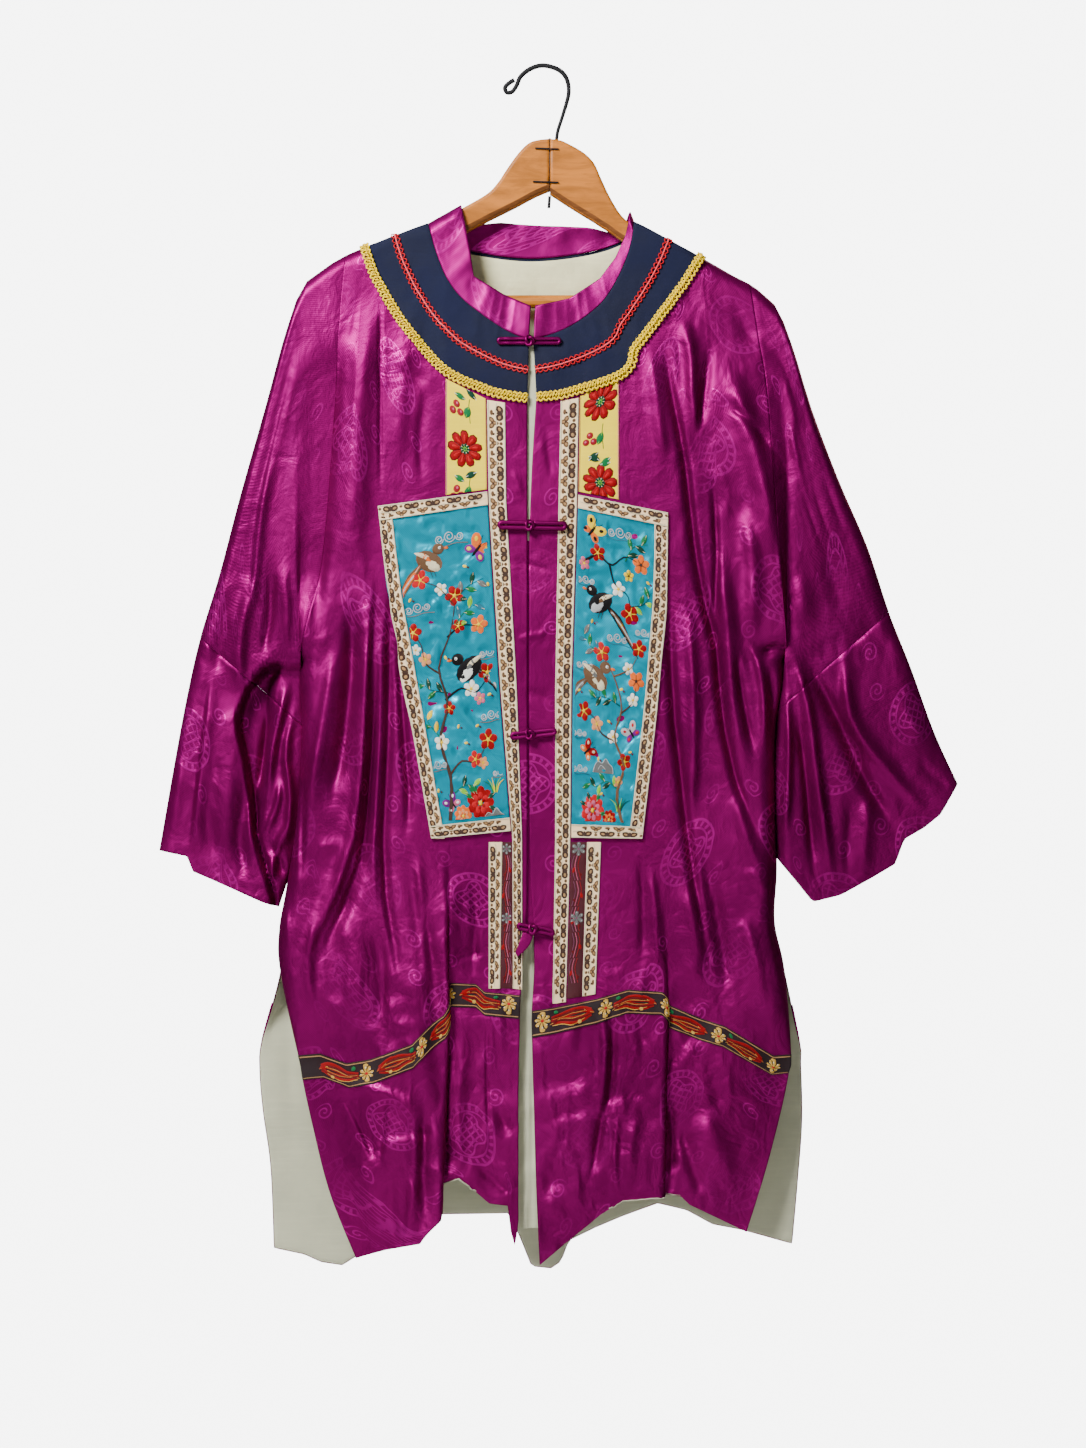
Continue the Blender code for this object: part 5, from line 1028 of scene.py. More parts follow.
edge, seam, top, outward = neck_parts(110)
rows = [mix(seam, edge, share) for share in np.linspace(0.0, 1.0, 22)]
YOKE = np.array([np.stack([flat[:, 0], neck_depth(flat, outward), flat[:, 1]], 1) for flat in rows])
yoke_normal = grid_normals(YOKE, (0, 1, 0)) * outward[None, :, None]
ripple = 0.5 * waver(YOKE[..., 0] * 1.2, YOKE[..., 2], 22.0, 5) + 0.9
cloth("yoke_cloth", YOKE + yoke_normal * ripple[..., None], [NAVY], ["yoke_band"], thickness=1.2,
      flip=True, sheet=True)

rows = []
for share in np.linspace(0.0, 1.0, 16):
    across, drop = mix(seam, top, share).T
    depth = neck_depth(seam, outward) * (1.0 - 0.14 * share) * (1.0 + 0.03 * math.sin(math.pi * share))
    crumple = 1.9 * waver(across * 1.2, drop * 0.8, 19.0, 6) + 0.5 * waver(across, drop, 8.0, 7)
    rows.append(np.stack([across, depth + outward * crumple * (0.3 + share) * 0.8, drop], 1))
cloth("collar_cloth", np.array(rows), [COLLAR_SATIN], ["stand_collar"], thickness=1.6,
      start=(12.0, 30.0), sheet=True)

# Lining behind the neck

down, across = np.meshgrid(np.linspace(0.0, 1.0, 40), np.linspace(-96.0, 74.0, 60), indexing="ij")
drop = mix(read(SEAM_FINE["back"], across) + 3.0, 345.0, down)
depth = back_height(across, drop) - WALL - 1.6 + 0.5 * waver(across, drop, 18.0, 2)
cloth("neck_lining_cloth", np.stack([across, depth, drop], -1), [NECK_LINING], ["neck_lining"],
      thickness=1.0, sheet=True)


# Braids on the yoke

def braid_line(points, normals, count):
    """Even stations along a line: their points, normals, sideways directions and lengths so far."""
    steps = run_lengths(points)
    places = np.linspace(0.0, steps[-1], count)
    line, up = look_up(places, steps, points), look_up(places, steps, normals)
    for k in range(3):
        up[:, k] = np.convolve(np.pad(up[:, k], 6, mode="edge"), np.ones(13) / 13.0, mode="valid")
    up = unit(up)
    return line, up, unit(np.cross(unit(np.gradient(line, axis=0)), up)), places


def scallops(line, up, over, places, offset, reach, pitch, lift):
    """A cord that loops out to one side of the line."""
    phase = np.abs(np.sin(np.pi * places / pitch))
    sway = offset + reach * phase ** 0.7
    return line + over * sway[:, None] + up * (lift + 0.4 * phase)[:, None]


lift = 1.9 + 1.6 * np.exp(-(YOKE[-1][:, 1:2] / 14.0) ** 2)
braid = braid_line(YOKE[-1] + yoke_normal[-1] * lift, yoke_normal[-1], 1150)
line, up, over, places = braid
paths = [line - over * 0.3 + up * 0.3]
paths += [scallops(*braid, offset, reach, 4.6, 0.0) for offset, reach in ((0.6, 3.7), (-1.0, -2.4))]
tubes("yellow_gimp_cords", paths, 1.0, YELLOW_CORD, ["yellow_braid"], sides=5, normals=[up] * 3)
steps = np.arange(2.0, places[-1] - 2.0, 2.6)
here, beside, rise = (look_up(steps, places, each) for each in (line, over, up))
run = np.cross(rise, beside)
wraps = [here - beside * 1.9 - run * 1.1 + rise * 0.7, here + rise * 1.6,
         here + beside * 1.6 + run * 1.1 + rise * 0.7]
tubes("yellow_gimp_wraps", np.stack(wraps, 1), 0.75, YELLOW_CORD, sides=5)
braid = braid_line(YOKE[11] + yoke_normal[11] * 1.9, yoke_normal[11], 1000)
line, up = braid[:2]
paths = [scallops(*braid, out * 0.4, out * 3.0, 5.0, -0.3) for out in (1.0, -1.0)]
tubes("red_braid_loops", paths, 0.6, THREAD["bright red"], sides=5, normals=[up] * 2)
tubes("red_braid_cord", [line + up * 0.2], 0.85, RED_CORD, ["red_braid"], normals=[up])


# Trims on the fronts

def circle(count, start=0.0):
    """Even angles round a circle."""
    return [start + 2.0 * math.pi * k / count for k in range(count)]


def away(x, y, reach, angle):
    return x + reach * math.cos(angle), y + reach * math.sin(angle)


def turned(x, y, a, b, turn):
    cos, sin = math.cos(turn), math.sin(turn)
    return np.stack([x + a * cos - b * sin, y + a * sin + b * cos], 1)


class Stitches:
    """Raised embroidery in local places (a, b) in mm, built as one mesh with a colour a shape."""

    def __init__(self):
        self.verts, self.faces, self.index, self.colours = [], [], [], []

    def face(self, corners, colour):
        if colour not in self.colours:
            self.colours.append(colour)
        self.faces.append(corners)
        self.index.append(self.colours.index(colour))

    def patch(self, outline, colour, height=0.5):
        """A domed shape inside an outline."""
        outline = np.asarray(outline, float)
        n, base = len(outline), len(self.verts)
        middle = outline.mean(axis=0)
        for factor, rise in ((1.0, 0.0), (0.86, 0.75), (0.45, 1.0)):
            self.verts += [(a, b, rise * height) for a, b in middle + (outline - middle) * factor]
        self.verts.append((*middle, height * 1.05))
        for ring in range(3):
            for k in range(n):
                a, b = base + ring * n + k, base + ring * n + (k + 1) % n
                self.face((a, b, b + n, a + n) if ring < 2 else (a, b, base + 3 * n), colour)

    def line(self, points, width, colour, height=0.4, taper=False):
        points = dense(points, max(6, 3 * len(points)), smooth=len(points) > 2)
        n, base = len(points), len(self.verts)
        half = width / 2.0 * (np.linspace(1.0, 0.25, n) if taper else np.ones(n))
        for (a, b), (run_a, run_b), wide in zip(points, unit(np.gradient(points, axis=0)), half):
            for side, rise in ((-1.0, 0.0), (-0.6, 0.85), (0.6, 0.85), (1.0, 0.0)):
                self.verts.append((a - run_b * wide * side, b + run_a * wide * side, rise * height))
        for k in range(n - 1):
            for a in range(base + 4 * k, base + 4 * k + 3):
                self.face((a, a + 1, a + 5, a + 4), colour)

    def oval(self, x, y, long, short, turn, colour, height=0.5, n=10):
        t = np.array(circle(n))
        self.patch(turned(x, y, np.cos(t) * long, np.sin(t) * short, turn), colour, height)

    def leaf(self, x, y, length, width, turn, colour, vein=None, height=0.5):
        t = np.linspace(0.0, 1.0, 7)
        up = np.sin(np.pi * t) ** 0.8 * width / 2.0
        outline = turned(x, y, np.append(t, t[-2:0:-1]) * length, np.append(up, -up[-2:0:-1]), turn)
        self.patch(outline, colour, height)
        if vein:
            line = turned(x, y, np.array([0.0, 0.5, 0.95]) * length, np.array([0.0, 0.03, 0.0]) * length, turn)
            self.line(line, width * 0.12, vein, height * 1.15)

    def petal(self, x, y, start, length, width, turn, colour, height=0.5):
        """Narrow at the flower's middle, round at its tip."""
        t = np.linspace(0.0, 1.0, 6)
        up = width / 2.0 * np.array([0.25, 0.5, 0.78, 1.0, 0.98, 0.5])
        outline = turned(x, y, start + np.append(t, t[::-1]) * length, np.append(up, -up[::-1]), turn)
        self.patch(outline, colour, height)

    def flower(self, x, y, size, petals, colour, heart, turn=0.0, height=0.6, rim=None):
        wide = 2.0 * math.pi * size * 0.7 / petals * 0.92
        for angle in circle(petals, turn):
            if rim:
                self.petal(x, y, size * 0.16, size * 0.88, wide * 1.12, angle, rim, height * 0.5)
            self.petal(x, y, size * 0.18, size * 0.8, wide, angle, colour, height)
        self.oval(x, y, size * 0.24, size * 0.24, 0.0, heart, height * 1.3, n=8)

    def build(self, name, place, slot):
        verts = scene_points(place(*np.array(self.verts, float).T))
        paints = [THREAD[colour] for colour in self.colours]
        finish_piece(make_piece(name, verts, self.faces, paints, index=self.index))


class Strip:
    """A ribbon on a front: places along it in mm from its top, and across it from -1 to 1."""

    def __init__(self, side, table):
        self.side, self.table = side, np.array(table, float)
        near, far = self.table[:, :2], self.table[:, 2:]
        self.steps = run_lengths(0.5 * (near + far))
        self.length = self.steps[-1]
        self.half = float(np.mean(np.linalg.norm(near - far, axis=1))) / 2.0

    def at(self, s, w, lift):
        s, w = np.broadcast_arrays(np.asarray(s, float), np.asarray(w, float))
        row, share = look_up(s, self.steps, self.table), (w + 1.0) / 2.0
        drop, across = mix(row[..., 0], row[..., 2], share), mix(row[..., 1], row[..., 3], share)
        return front_points(self.side, across, drop, lift)

    def lay(self, name, rows, columns, lift, paint, slot, nodes, thickness):
        s, w = np.linspace(0.0, self.length, rows)[:, None], np.linspace(-1.0, 1.0, columns)[None, :]
        points = self.at(s, w, np.full((rows, columns), lift))
        cloth(name, points, [paint], nodes, thickness=thickness, flip=self.side == "left")

    def stitch(self, marks, name, lift, slot):
        marks.build(name, lambda a, b, h: self.at(a, b / self.half, h + lift + 0.02), slot)


def tape_motifs(marks, length, half, sign):
    """Brown butterflies down one half of the tape and trefoils down the other, with a wavy line between."""
    count = max(1, int(round((length - 3.0) / 18.0)))
    pitch = (length - 3.0) / count
    wave = []
    for k in range(count):
        s = 1.5 + (k + 0.5) * pitch
        w = -0.38 * half * sign
        for side in (-1, 1):
            marks.oval(s + side * 3.4, w, 3.7, half * 0.44, 0.3 * side, "brown", 0.30)
            marks.oval(s + side * 3.7, w + 0.1, 2.0, half * 0.19, 0.3 * side, "tan", 0.42, n=8)
        marks.oval(s, w, 1.2, half * 0.42, 0.0, "brown", 0.4, n=8)
        marks.oval(s + pitch * 0.5, w * 1.35, 1.6, half * 0.2, 0.0, "umber", 0.3, n=7)
        w = 0.42 * half * sign
        t = s + pitch / 2.0
        if k < count - 1:
            for turn in (0.5, 2.6, 4.7):
                x, y = t + math.cos(turn) * 3.0, w + math.sin(turn) * half * 0.24
                marks.oval(x, y, 3.0, half * 0.31, turn, "umber", 0.28, n=9)
                marks.oval(x, y, 1.7, half * 0.16, turn, "tan", 0.38, n=7)
            marks.oval(t, w, 1.0, 0.8, 0.0, "brown", 0.45, n=6)
        marks.oval(s, w * 1.3, 2.6, half * 0.19, 0.0, "umber", 0.28, n=8)
        marks.oval(s + 1.0, w * 0.75, 1.2, half * 0.12, 0.3, "brown", 0.3, n=6)
        wave += [(s + step * pitch, w * half * sign) for step, w in ((-0.5, -0.03), (0.0, 0.12), (0.5, -0.05))]
    marks.line(wave, 0.7, "cream", 0.46)


def lay_tape(name, side, table, nodes, sign, lift=0.9):
    """sign is 1 where the trefoils lie on the outer half and -1 where they lie on the inner half."""
    strip, marks = Strip(side, table), Stitches()
    strip.lay(name, max(12, int(strip.length / 4.0)), 7, lift, CREAM, "cream", nodes, 0.8)
    tape_motifs(marks, strip.length, strip.half, sign)
    for edge in (-1.0, 1.0):
        ends = np.linspace(0.3, strip.length - 0.3, 24)
        marks.line([(s, edge * (strip.half - 0.6)) for s in ends], 1.3, "cream", 0.55)
    strip.stitch(marks, name + "_motifs", lift, "cream")


def lay_flower_ribbon(side):
    """A flower with berries above and below it on the left, berries between two flowers on the right."""
    blooms, berries, leaf_places, w, lean = RIBBON_PLACES[side]
    strip, marks = Strip(side, FLOWER_RIBBON[side]), Stitches()
    strip.lay("ribbon_" + side, 34, 14, 0.8, YELLOW_RIBBON, "flower", ["flower_ribbon_" + side], 0.8)
    for s in blooms:
        marks.flower(s, 1.0, 16.0, 9, "red", "light green", turn=0.3, rim="dark red")
        for angle in circle(9, 0.3):
            marks.petal(s, 1.0, 6.0, 7.0, 2.6, angle, "bright red", 0.8)
        marks.flower(s, 1.0, 5.2, 8, "dark green", "green", turn=0.1, height=1.0)
        for angle in circle(8, 0.5):
            marks.oval(*away(s, 1.0, 3.6, angle), 0.6, 0.6, 0.0, "cream", 1.2, n=6)
    for s in berries:
        for dx, dy in ((-3.6, 0.0), (2.6, -3.6), (2.6, 3.6)):
            marks.oval(s + dx, w + dy, 3.4, 3.4, 0.0, "berry", 0.6, n=9)
            marks.oval(s + dx - 0.6, w + dy - 0.6, 1.2, 1.2, 0.0, "pink", 0.95, n=7)
        marks.leaf(s - 5.0, -w * 0.35, 12.0, 7.0, lean, "green", "light green")
        marks.line([(s - 12, -w * 0.4), (s - 4, -w * 0.3), (s + 10, -w * 0.45)], 0.7, "green")
    for k, s in enumerate(leaf_places):
        marks.leaf(s, -10.0, 12.0, 6.5, 1.2 + k, "dark green", "white")
        marks.leaf(s + 2.0, 11.0, 11.0, 5.5, -1.0 - k * 0.4, "green", "white")
    for edge, colour in ((-1.0, "gold"), (1.0, "pink")):
        ends = (0.5, strip.length / 2, strip.length - 0.5)
        marks.line([(s, edge * (strip.half - 0.6)) for s in ends], 0.9, colour, 0.35)
    strip.stitch(marks, "ribbon_flowers_" + side, 0.8, "flower")


def lay_brocade(side):
    strip, marks = Strip(side, BROCADE_STRIP[side]), Stitches()
    half = strip.half
    strip.lay("brocade_" + side, 36, 6, 0.7, MAROON, "brocade", ["brocade_strip_" + side], 0.7)
    for s in (6.0, 68.0):
        for turn in circle(6):
            marks.petal(s, 0.0, 0.6, half * 0.85, half * 0.5, turn, "grey", 0.35)
            marks.oval(*away(s, 0.0, half * 0.75, turn), 0.7, 0.6, 0, "silver", 0.5, n=6)
        marks.oval(s, 0.0, 1.0, 1.0, 0.0, "mauve", 0.6, n=6)
    for k in range(5):
        s, bow = 18.0 + 23.0 * k, (0.55 if k % 2 else -0.55) * half
        for w, colour in ((-0.55 * half, "mauve"), (-0.15 * half, "pink"), (0.25 * half, "red")):
            wave = ((-6, 0.0), (2, 0.5), (9, 0.2), (16, -0.3))
            marks.line([(s + step, w + bow * sway) for step, sway in wave], 0.55, colour, 0.3)
        marks.leaf(s + 4, bow * 0.8, 6.0, 2.6, 0.5 * bow / half, "red", height=0.35)
        marks.oval(s + 11, -bow * 0.7, 1.8, 1.2, 0.4, "dark red", 0.4, n=7)
    strip.stitch(marks, "brocade_figures_" + side, 0.7, "brocade")


for side in SIDES:
    lay_tape("tape_" + side, side, FRONT_TAPE[side], ["front_tape_" + side], -OUT[side])
    lay_tape("low_tape_" + side, side, LOWER_TAPE[side], ["lower_tape_" + side], OUT[side])
for side in SIDES:
    lay_flower_ribbon(side)
    lay_brocade(side)


# Panels

def panel_places(side, s, w):
    """s from 0 to 1 down the panel and w from 0 at its inner edge to 1 at its outer edge."""
    table = np.array(PANEL[side], float)
    row = look_up(mix(table[0, 0], table[-1, 0], s), table[:, 0], table)
    return mix(row[..., 1], row[..., 3], w), mix(row[..., 0], row[..., 2], w)


def pucker(across, drop):
    """Small raised waves of the panel's satin between its stitches."""
    return 1.25 * waver(across, drop * 1.5, 12.0, 6) + 0.7 * waver(across, drop, 6.0, 7)


def lay_panel(side):
    s, w = np.meshgrid(np.linspace(0.0, 1.0, 130), np.linspace(0.0, 1.0, 56), indexing="ij")
    across, drop = panel_places(side, s, w)
    calm = ease(np.minimum(np.minimum(s, 1 - s) * 12.0, np.minimum(w, 1 - w) * 6.0))
    points = front_points(side, across, drop, 1.4 + pucker(across, drop) * calm)
    cloth("panel_satin_" + side, points, [TURQUOISE], ["panel_" + side], thickness=0.8,
          flip=side == "left")
    wide = np.array([0.0, -OUT[side] * BORDER, 0.0, 0.0])
    even = np.linspace(0.0, 1.0, 9)
    across, drop = panel_places(side, even, 1.0)
    outer = np.column_stack([drop, across, drop, across]) + wide
    lay_tape("panel_tape_outer_" + side, side, outer, ["panel_border_" + side], OUT[side], lift=2.6)
    share = BORDER / (PANEL[side][-1][0] - PANEL[side][0][0])
    for name, first, last, sign in (("top", 0.0, share, -1.0), ("low", 1.0 - share, 1.0, 1.0)):
        (near, high), (far, low) = (panel_places(side, np.full(9, s), even) for s in (first, last))
        table = np.column_stack([low, far, high, near])
        lay_tape("panel_tape_%s_%s" % (name, side), side, table, [], sign, lift=2.9)


for side in SIDES:
    lay_panel(side)


# Embroidery on the panels: sprays, birds, butterflies and clouds in a layout of its own

def twig(m, width, colour, height, *points):
    m.line(points, width, colour, height, taper=True)


def blossom(m, x, y, r, colour, heart, turn):
    r = 1.35 * r
    for angle in circle(5, turn):
        m.oval(*away(x, y, r * 0.55, angle), r * 0.46, r * 0.38, angle, colour, 0.5)
    for angle in circle(5, turn + math.pi / 5):
        m.line([(x, y), away(x, y, r * 0.6, angle)], r * 0.09, heart, 0.75)
    m.oval(x, y, r * 0.2, r * 0.2, 0.0, heart, 0.9, n=8)


def peony(m, x, y, r, outer, inner):
    r = 1.35 * r
    for ring, (count, size, tone) in enumerate(((9, 1.0, outer), (7, 0.68, inner), (5, 0.4, outer))):
        for angle in circle(count, 0.35 * ring):
            m.oval(*away(x, y, r * size * 0.66, angle), r * size * 0.36, r * size * 0.3, angle, tone,
                   0.4 + 0.25 * ring)
    m.oval(x, y, r * 0.16, r * 0.16, 0.0, "yellow", 1.3, n=8)


def leaves(m, x, y, length, width, *turns):
    for angle, colour in turns:
        m.leaf(*away(x, y, 9.0, angle), length, width, angle, colour, "cream")


def spray(m, colour, tones, count, *points):
    """A stem with leaves at each side."""
    twig(m, 1.2, colour, 0.55, *points)
    line = dense(points, count + 2)
    run = np.gradient(line, axis=0)
    for k in range(1, count + 1):
        angle = math.atan2(run[k, 1], run[k, 0]) + (0.9 if k % 2 else -0.9)
        m.leaf(line[k, 0], line[k, 1], 11.0, 5.0, angle, tones[k % len(tones)], "cream", 0.5)


def butterfly(m, x, y, r, turn, upper, lower, spot):
    r = 1.45 * r
    for side in (-1.0, 1.0):
        for reach, wide, angle, tone in ((1.0, 0.62, 0.75, upper), (0.75, 0.5, 2.0, lower)):
            t = turn + side * angle
            m.oval(*away(x, y, r * reach * 0.6, t), r * reach * 0.55, r * wide * 0.55, t, tone, 0.45)
            m.oval(*away(x, y, r * reach * 0.72, t), r * 0.2, r * 0.14, t, spot, 0.65, n=8)
        m.line([(x, y), away(x, y, r, turn + side * 0.28)], 0.5, "black", 0.5)
    m.oval(x, y, r * 0.5, r * 0.11, turn, "black", 0.8, n=8)


def bird(m, x, y, r, face, coat, wing, belly):
    """A perched songbird; face is 1 when it looks right."""
    r = 1.65 * r
    way = face * r
    for k, tone in enumerate((coat, wing, "silver", wing, coat)):
        m.line([(x - way * 0.4, y + r * 0.1), (x - way * (1.1 + 0.1 * k), y + r * (0.5 + 0.22 * k)),
                (x - way * (1.6 + 0.18 * k), y + r * (1.15 + 0.28 * k))], r * 0.16, tone, 0.5, taper=True)
    m.oval(x, y, r * 0.72, r * 0.46, 0.55 * face, coat, 0.7, n=14)
    m.oval(x + way * 0.15, y + r * 0.2, r * 0.45, r * 0.26, 0.6 * face, belly, 0.85, n=12)
    m.oval(x + way * 0.5, y - r * 0.5, r * 0.3, r * 0.27, 0.0, coat, 0.85, n=12)
    for k in range(4):
        m.leaf(x + way * 0.15, y - r * 0.12 + k * r * 0.07, -way * (0.95 - 0.1 * k), r * 0.24,
               face * (0.42 + 0.14 * k), wing if k % 2 else "cream", height=0.95)
    m.oval(x + way * 0.58, y - r * 0.54, r * 0.09, r * 0.09, 0.0, "white", 1.1, n=8)
    m.oval(x + way * 0.6, y - r * 0.54, r * 0.045, r * 0.045, 0.0, "black", 1.25, n=6)
    m.leaf(x + way * 0.76, y - r * 0.5, way * 0.28, r * 0.13, 0.1, "orange", height=0.8)
    for dx in (0.0, 0.18 * r):
        m.line([(x + dx, y + r * 0.4), (x + dx + way * 0.1, y + r * 0.75)], 0.6, "brown", 0.5)


def cloud(m, x, y, r, tone, edge):
    r = 1.4 * r
    t = np.linspace(0.0, 3.6 * math.pi, 16)
    for dx, dy, size, way in ((0.0, 0.0, 1.0, 1.0), (0.95, 0.1, 0.7, -1.0), (-0.95, 0.15, 0.75, 1.0)):
        radius = r * size * 0.55 * (1.0 - t / (4.6 * math.pi))
        spiral = np.stack([x + dx * r + radius * np.cos(t) * way, y + dy * r + radius * np.sin(t)], 1)
        m.line(spiral, 0.9, tone, 0.45)
    m.line(place_all(x, y, r, (-1.5, 0.62), (-0.5, 0.8), (0.6, 0.66), (1.7, 0.8)), 1.0, edge, 0.45)


def place_all(x, y, r, *points):
    return [(x + a * r, y + b * r) for a, b in points]


def tuft(m, x, y, r, tones):
    r = 1.6 * r
    for k, lean in enumerate((-0.9, -0.5, -0.15, 0.2, 0.55, 0.95)):
        blade = ((lean * 0.15, 0.0), (lean * 0.5, -0.6), (lean * 1.1, -(1.1 - 0.2 * abs(lean))))
        m.line(place_all(x, y, r, *blade), r * 0.15, tones[k % len(tones)], 0.5, taper=True)


def stone(m, x, y, r, tone, edge):
    r = 1.7 * r
    points = place_all(x, y, r, (-1.0, 0.4), (-0.8, -0.2), (-0.45, -0.5), (-0.1, -0.35), (0.25, -0.75),
                       (0.6, -0.4), (1.0, -0.1), (1.1, 0.4))
    m.patch(points, tone, 0.5)
    m.line(points, 0.8, edge, 0.75)
    m.line(place_all(x, y, r, (-0.5, 0.2), (-0.2, -0.2), (0.3, 0.1)), 0.7, edge, 0.75)


def clouds(m, edge, *rows):
    for row in rows:
        cloud(m, *row, "silver", edge)


def blossoms(m, turn, brown_hearts, *rows):
    """turn is by how much a blossom turns for each mm across and down."""
    for x, y, r, tone in rows:
        blossom(m, x, y, r, tone, "brown" if tone in brown_hearts else "yellow", x * turn[0] + y * turn[1])


def buds(m, tone, *rows):
    for x, y in rows:
        m.oval(x, y, 2.2, 1.3, x * 0.2, "yellow", 0.5, n=8)
        m.oval(x + 3.0, y + 1.6, 1.5, 1.0, 0.6, tone, 0.5, n=7)


GREENS = ("green", "light green", "dark green")
DESIGN = {
    "left": [
        (twig, 4.6, "brown", 0.7, (-30, 138), (-22, 100), (-27, 62), (-14, 30), (-18, -4), (-2, -34), (6, -62)),
        (twig, 2.6, "brown", 0.6, (-23, 96), (-8, 84), (8, 86), (22, 72)),
        (twig, 2.4, "black", 0.6, (-16, 26), (2, 18), (16, 24), (30, 12)),
        (twig, 2.2, "brown", 0.6, (-17, 2), (-30, -10), (-32, -28), (-38, -38)),
        (twig, 2.0, "black", 0.6, (-6, -30), (10, -38), (26, -34)),
        (twig, 1.8, "brown", 0.6, (4, -58), (-8, -76), (-22, -84)),
        (blossoms, (0.1, 0.0), (), (24, 68, 7.5, "red"), (8, 84, 6, "bright red"), (30, 8, 7, "red"),
         (12, 20, 6, "white"), (-38, -40, 6.5, "red"), (-30, -14, 5, "peach"), (26, -36, 6.5, "orange"),
         (6, -38, 5, "red"), (-24, -86, 6.5, "bright red"), (6, -66, 7, "red"), (-6, -74, 4.5, "white"),
         (-26, 64, 6, "white"), (-13, 34, 5, "red"), (16, 88, 4.5, "peach"), (20, 30, 4.5, "pink"),
         (-38, -24, 4, "white")),
        (spray, "green", GREENS, 4, (-20, 112), (-6, 106), (8, 110)),
        (spray, "green", ("green", "yellow"), 3, (-26, 60), (-36, 46), (-38, 34)),
        (spray, "dark green", ("green", "dark green"), 4, (-12, 20), (-30, 14), (-38, 4)),
        (spray, "green", ("green", "light green", "teal"), 5, (0, -36), (14, -50), (30, -56)),
        (spray, "dark green", ("green", "dark green", "grey"), 5, (2, -60), (20, -72), (34, -76)),
        (bird, 12, 2, 12.5, -1, "black", "grey", "white"),
        (bird, -14, -100, 11, 1, "umber", "orange", "cream"),
        (butterfly, 30, -102, 9.5, -0.8, "orange", "purple", "yellow"),
        (butterfly, -24, 122, 7.5, -2.2, "purple", "pink", "white"),
        (peony, 8, 124, 11.5, "red", "bright red"),
        (peony, -14, 134, 7.5, "orange", "peach"),
        (leaves, 8, 124, 10, 4.4, (-2.6, "green"), (-1.9, "green"), (-0.4, "dark green"), (0.4, "dark green")),
        (stone, 22, 140, 8, "grey", "silver"),
        (tuft, 26, 116, 8, ("green", "light green", "yellow")),
        (clouds, "grey", (-30, -62, 6.5), (34, -10, 5.5), (30, 46, 6), (-34, 84, 5.5), (6, -118, 7),
         (34, 98, 4.5)),
        (buds, "brown", (-6, 52), (14, 54), (-38, 108), (30, 28), (-10, -12), (38, -70), (-36, -70), (18, -90),
         (0, 68)),
    ],
    "right": [
        (twig, 4.4, "umber", 0.7, (28, 140), (18, 112), (24, 84), (10, 58), (16, 30), (6, 4), (-8, -14)),
        (twig, 2.4, "brown", 0.6, (12, 62), (-6, 56), (-16, 42), (-28, 40)),
        (twig, 2.2, "brown", 0.6, (16, 34), (28, 22), (30, 4)),
        (twig, 2.6, "black", 0.6, (-32, -96), (-18, -104), (-4, -98), (10, -108), (26, -104)),
        (twig, 2.2, "black", 0.6, (-6, -98), (0, -82), (14, -74), (18, -60)),
        (twig, 2.0, "umber", 0.6, (4, 2), (22, -8), (30, -24)),
        (blossoms, (0.0, 0.1), ("yellow", "orange"), (-28, 38, 7, "red"), (-12, 48, 5.5, "peach"),
         (30, 2, 7, "orange"), (28, 20, 5, "white"), (-10, -18, 7, "bright red"), (30, -28, 6.5, "red"),
         (20, -8, 4.5, "white"), (18, -58, 7.5, "red"), (4, -78, 5.5, "white"), (26, -104, 6.5, "orange"),
         (-18, -106, 6, "red"), (-32, -94, 4.5, "pink"), (24, 80, 6.5, "red"), (8, 58, 5, "white"),
         (14, -92, 4, "yellow"), (18, 100, 4.5, "peach")),
        (spray, "green", GREENS, 6, (20, 108), (4, 100), (-10, 106), (-22, 100)),
        (spray, "dark green", ("dark green", "green"), 5, (14, 28), (-4, 22), (-20, 26)),
        (spray, "green", ("green", "teal", "grey"), 5, (-8, -16), (-24, -22), (-32, -36)),
        (spray, "green", ("green", "dark green"), 4, (10, -104), (18, -118), (32, -122)),
        (spray, "dark green", ("green", "light green"), 4, (16, -64), (32, -70), (38, -82)),
        (bird, -16, 6, 13, 1, "umber", "grey", "cream"),
        (bird, -14, -62, 11.5, -1, "black", "umber", "silver"),
        (butterfly, -24, -124, 9, -0.9, "yellow", "orange", "black"),
        (butterfly, 30, 52, 8, -2.3, "silver", "purple", "bright red"),
        (butterfly, -22, 74, 7.5, -0.7, "red", "orange", "cream"),
        (peony, -12, 128, 11, "bright red", "pink"),
        (peony, 10, 136, 7, "red", "orange"),
        (leaves, -12, 128, 9.5, 4.2, (-2.7, "dark green"), (-2.0, "dark green"), (-1.1, "green"),
         (0.2, "green")),
        (tuft, 22, 128, 8, ("light green", "green", "dark green")),
        (stone, -2, 88, 7, "grey", "silver"),
        (clouds, "teal", (-30, 90, 5), (-28, -4, 5), (6, -34, 6), (34, -44, 5), (4, -128, 6.5), (-32, 58, 4.5),
         (-30, -80, 5)),
        (buds, "dark red", (2, 44), (-8, 80), (30, 70), (-34, 20), (14, 12), (-22, -44), (34, -90), (10, -46),
         (-2, 112)),
    ],
}


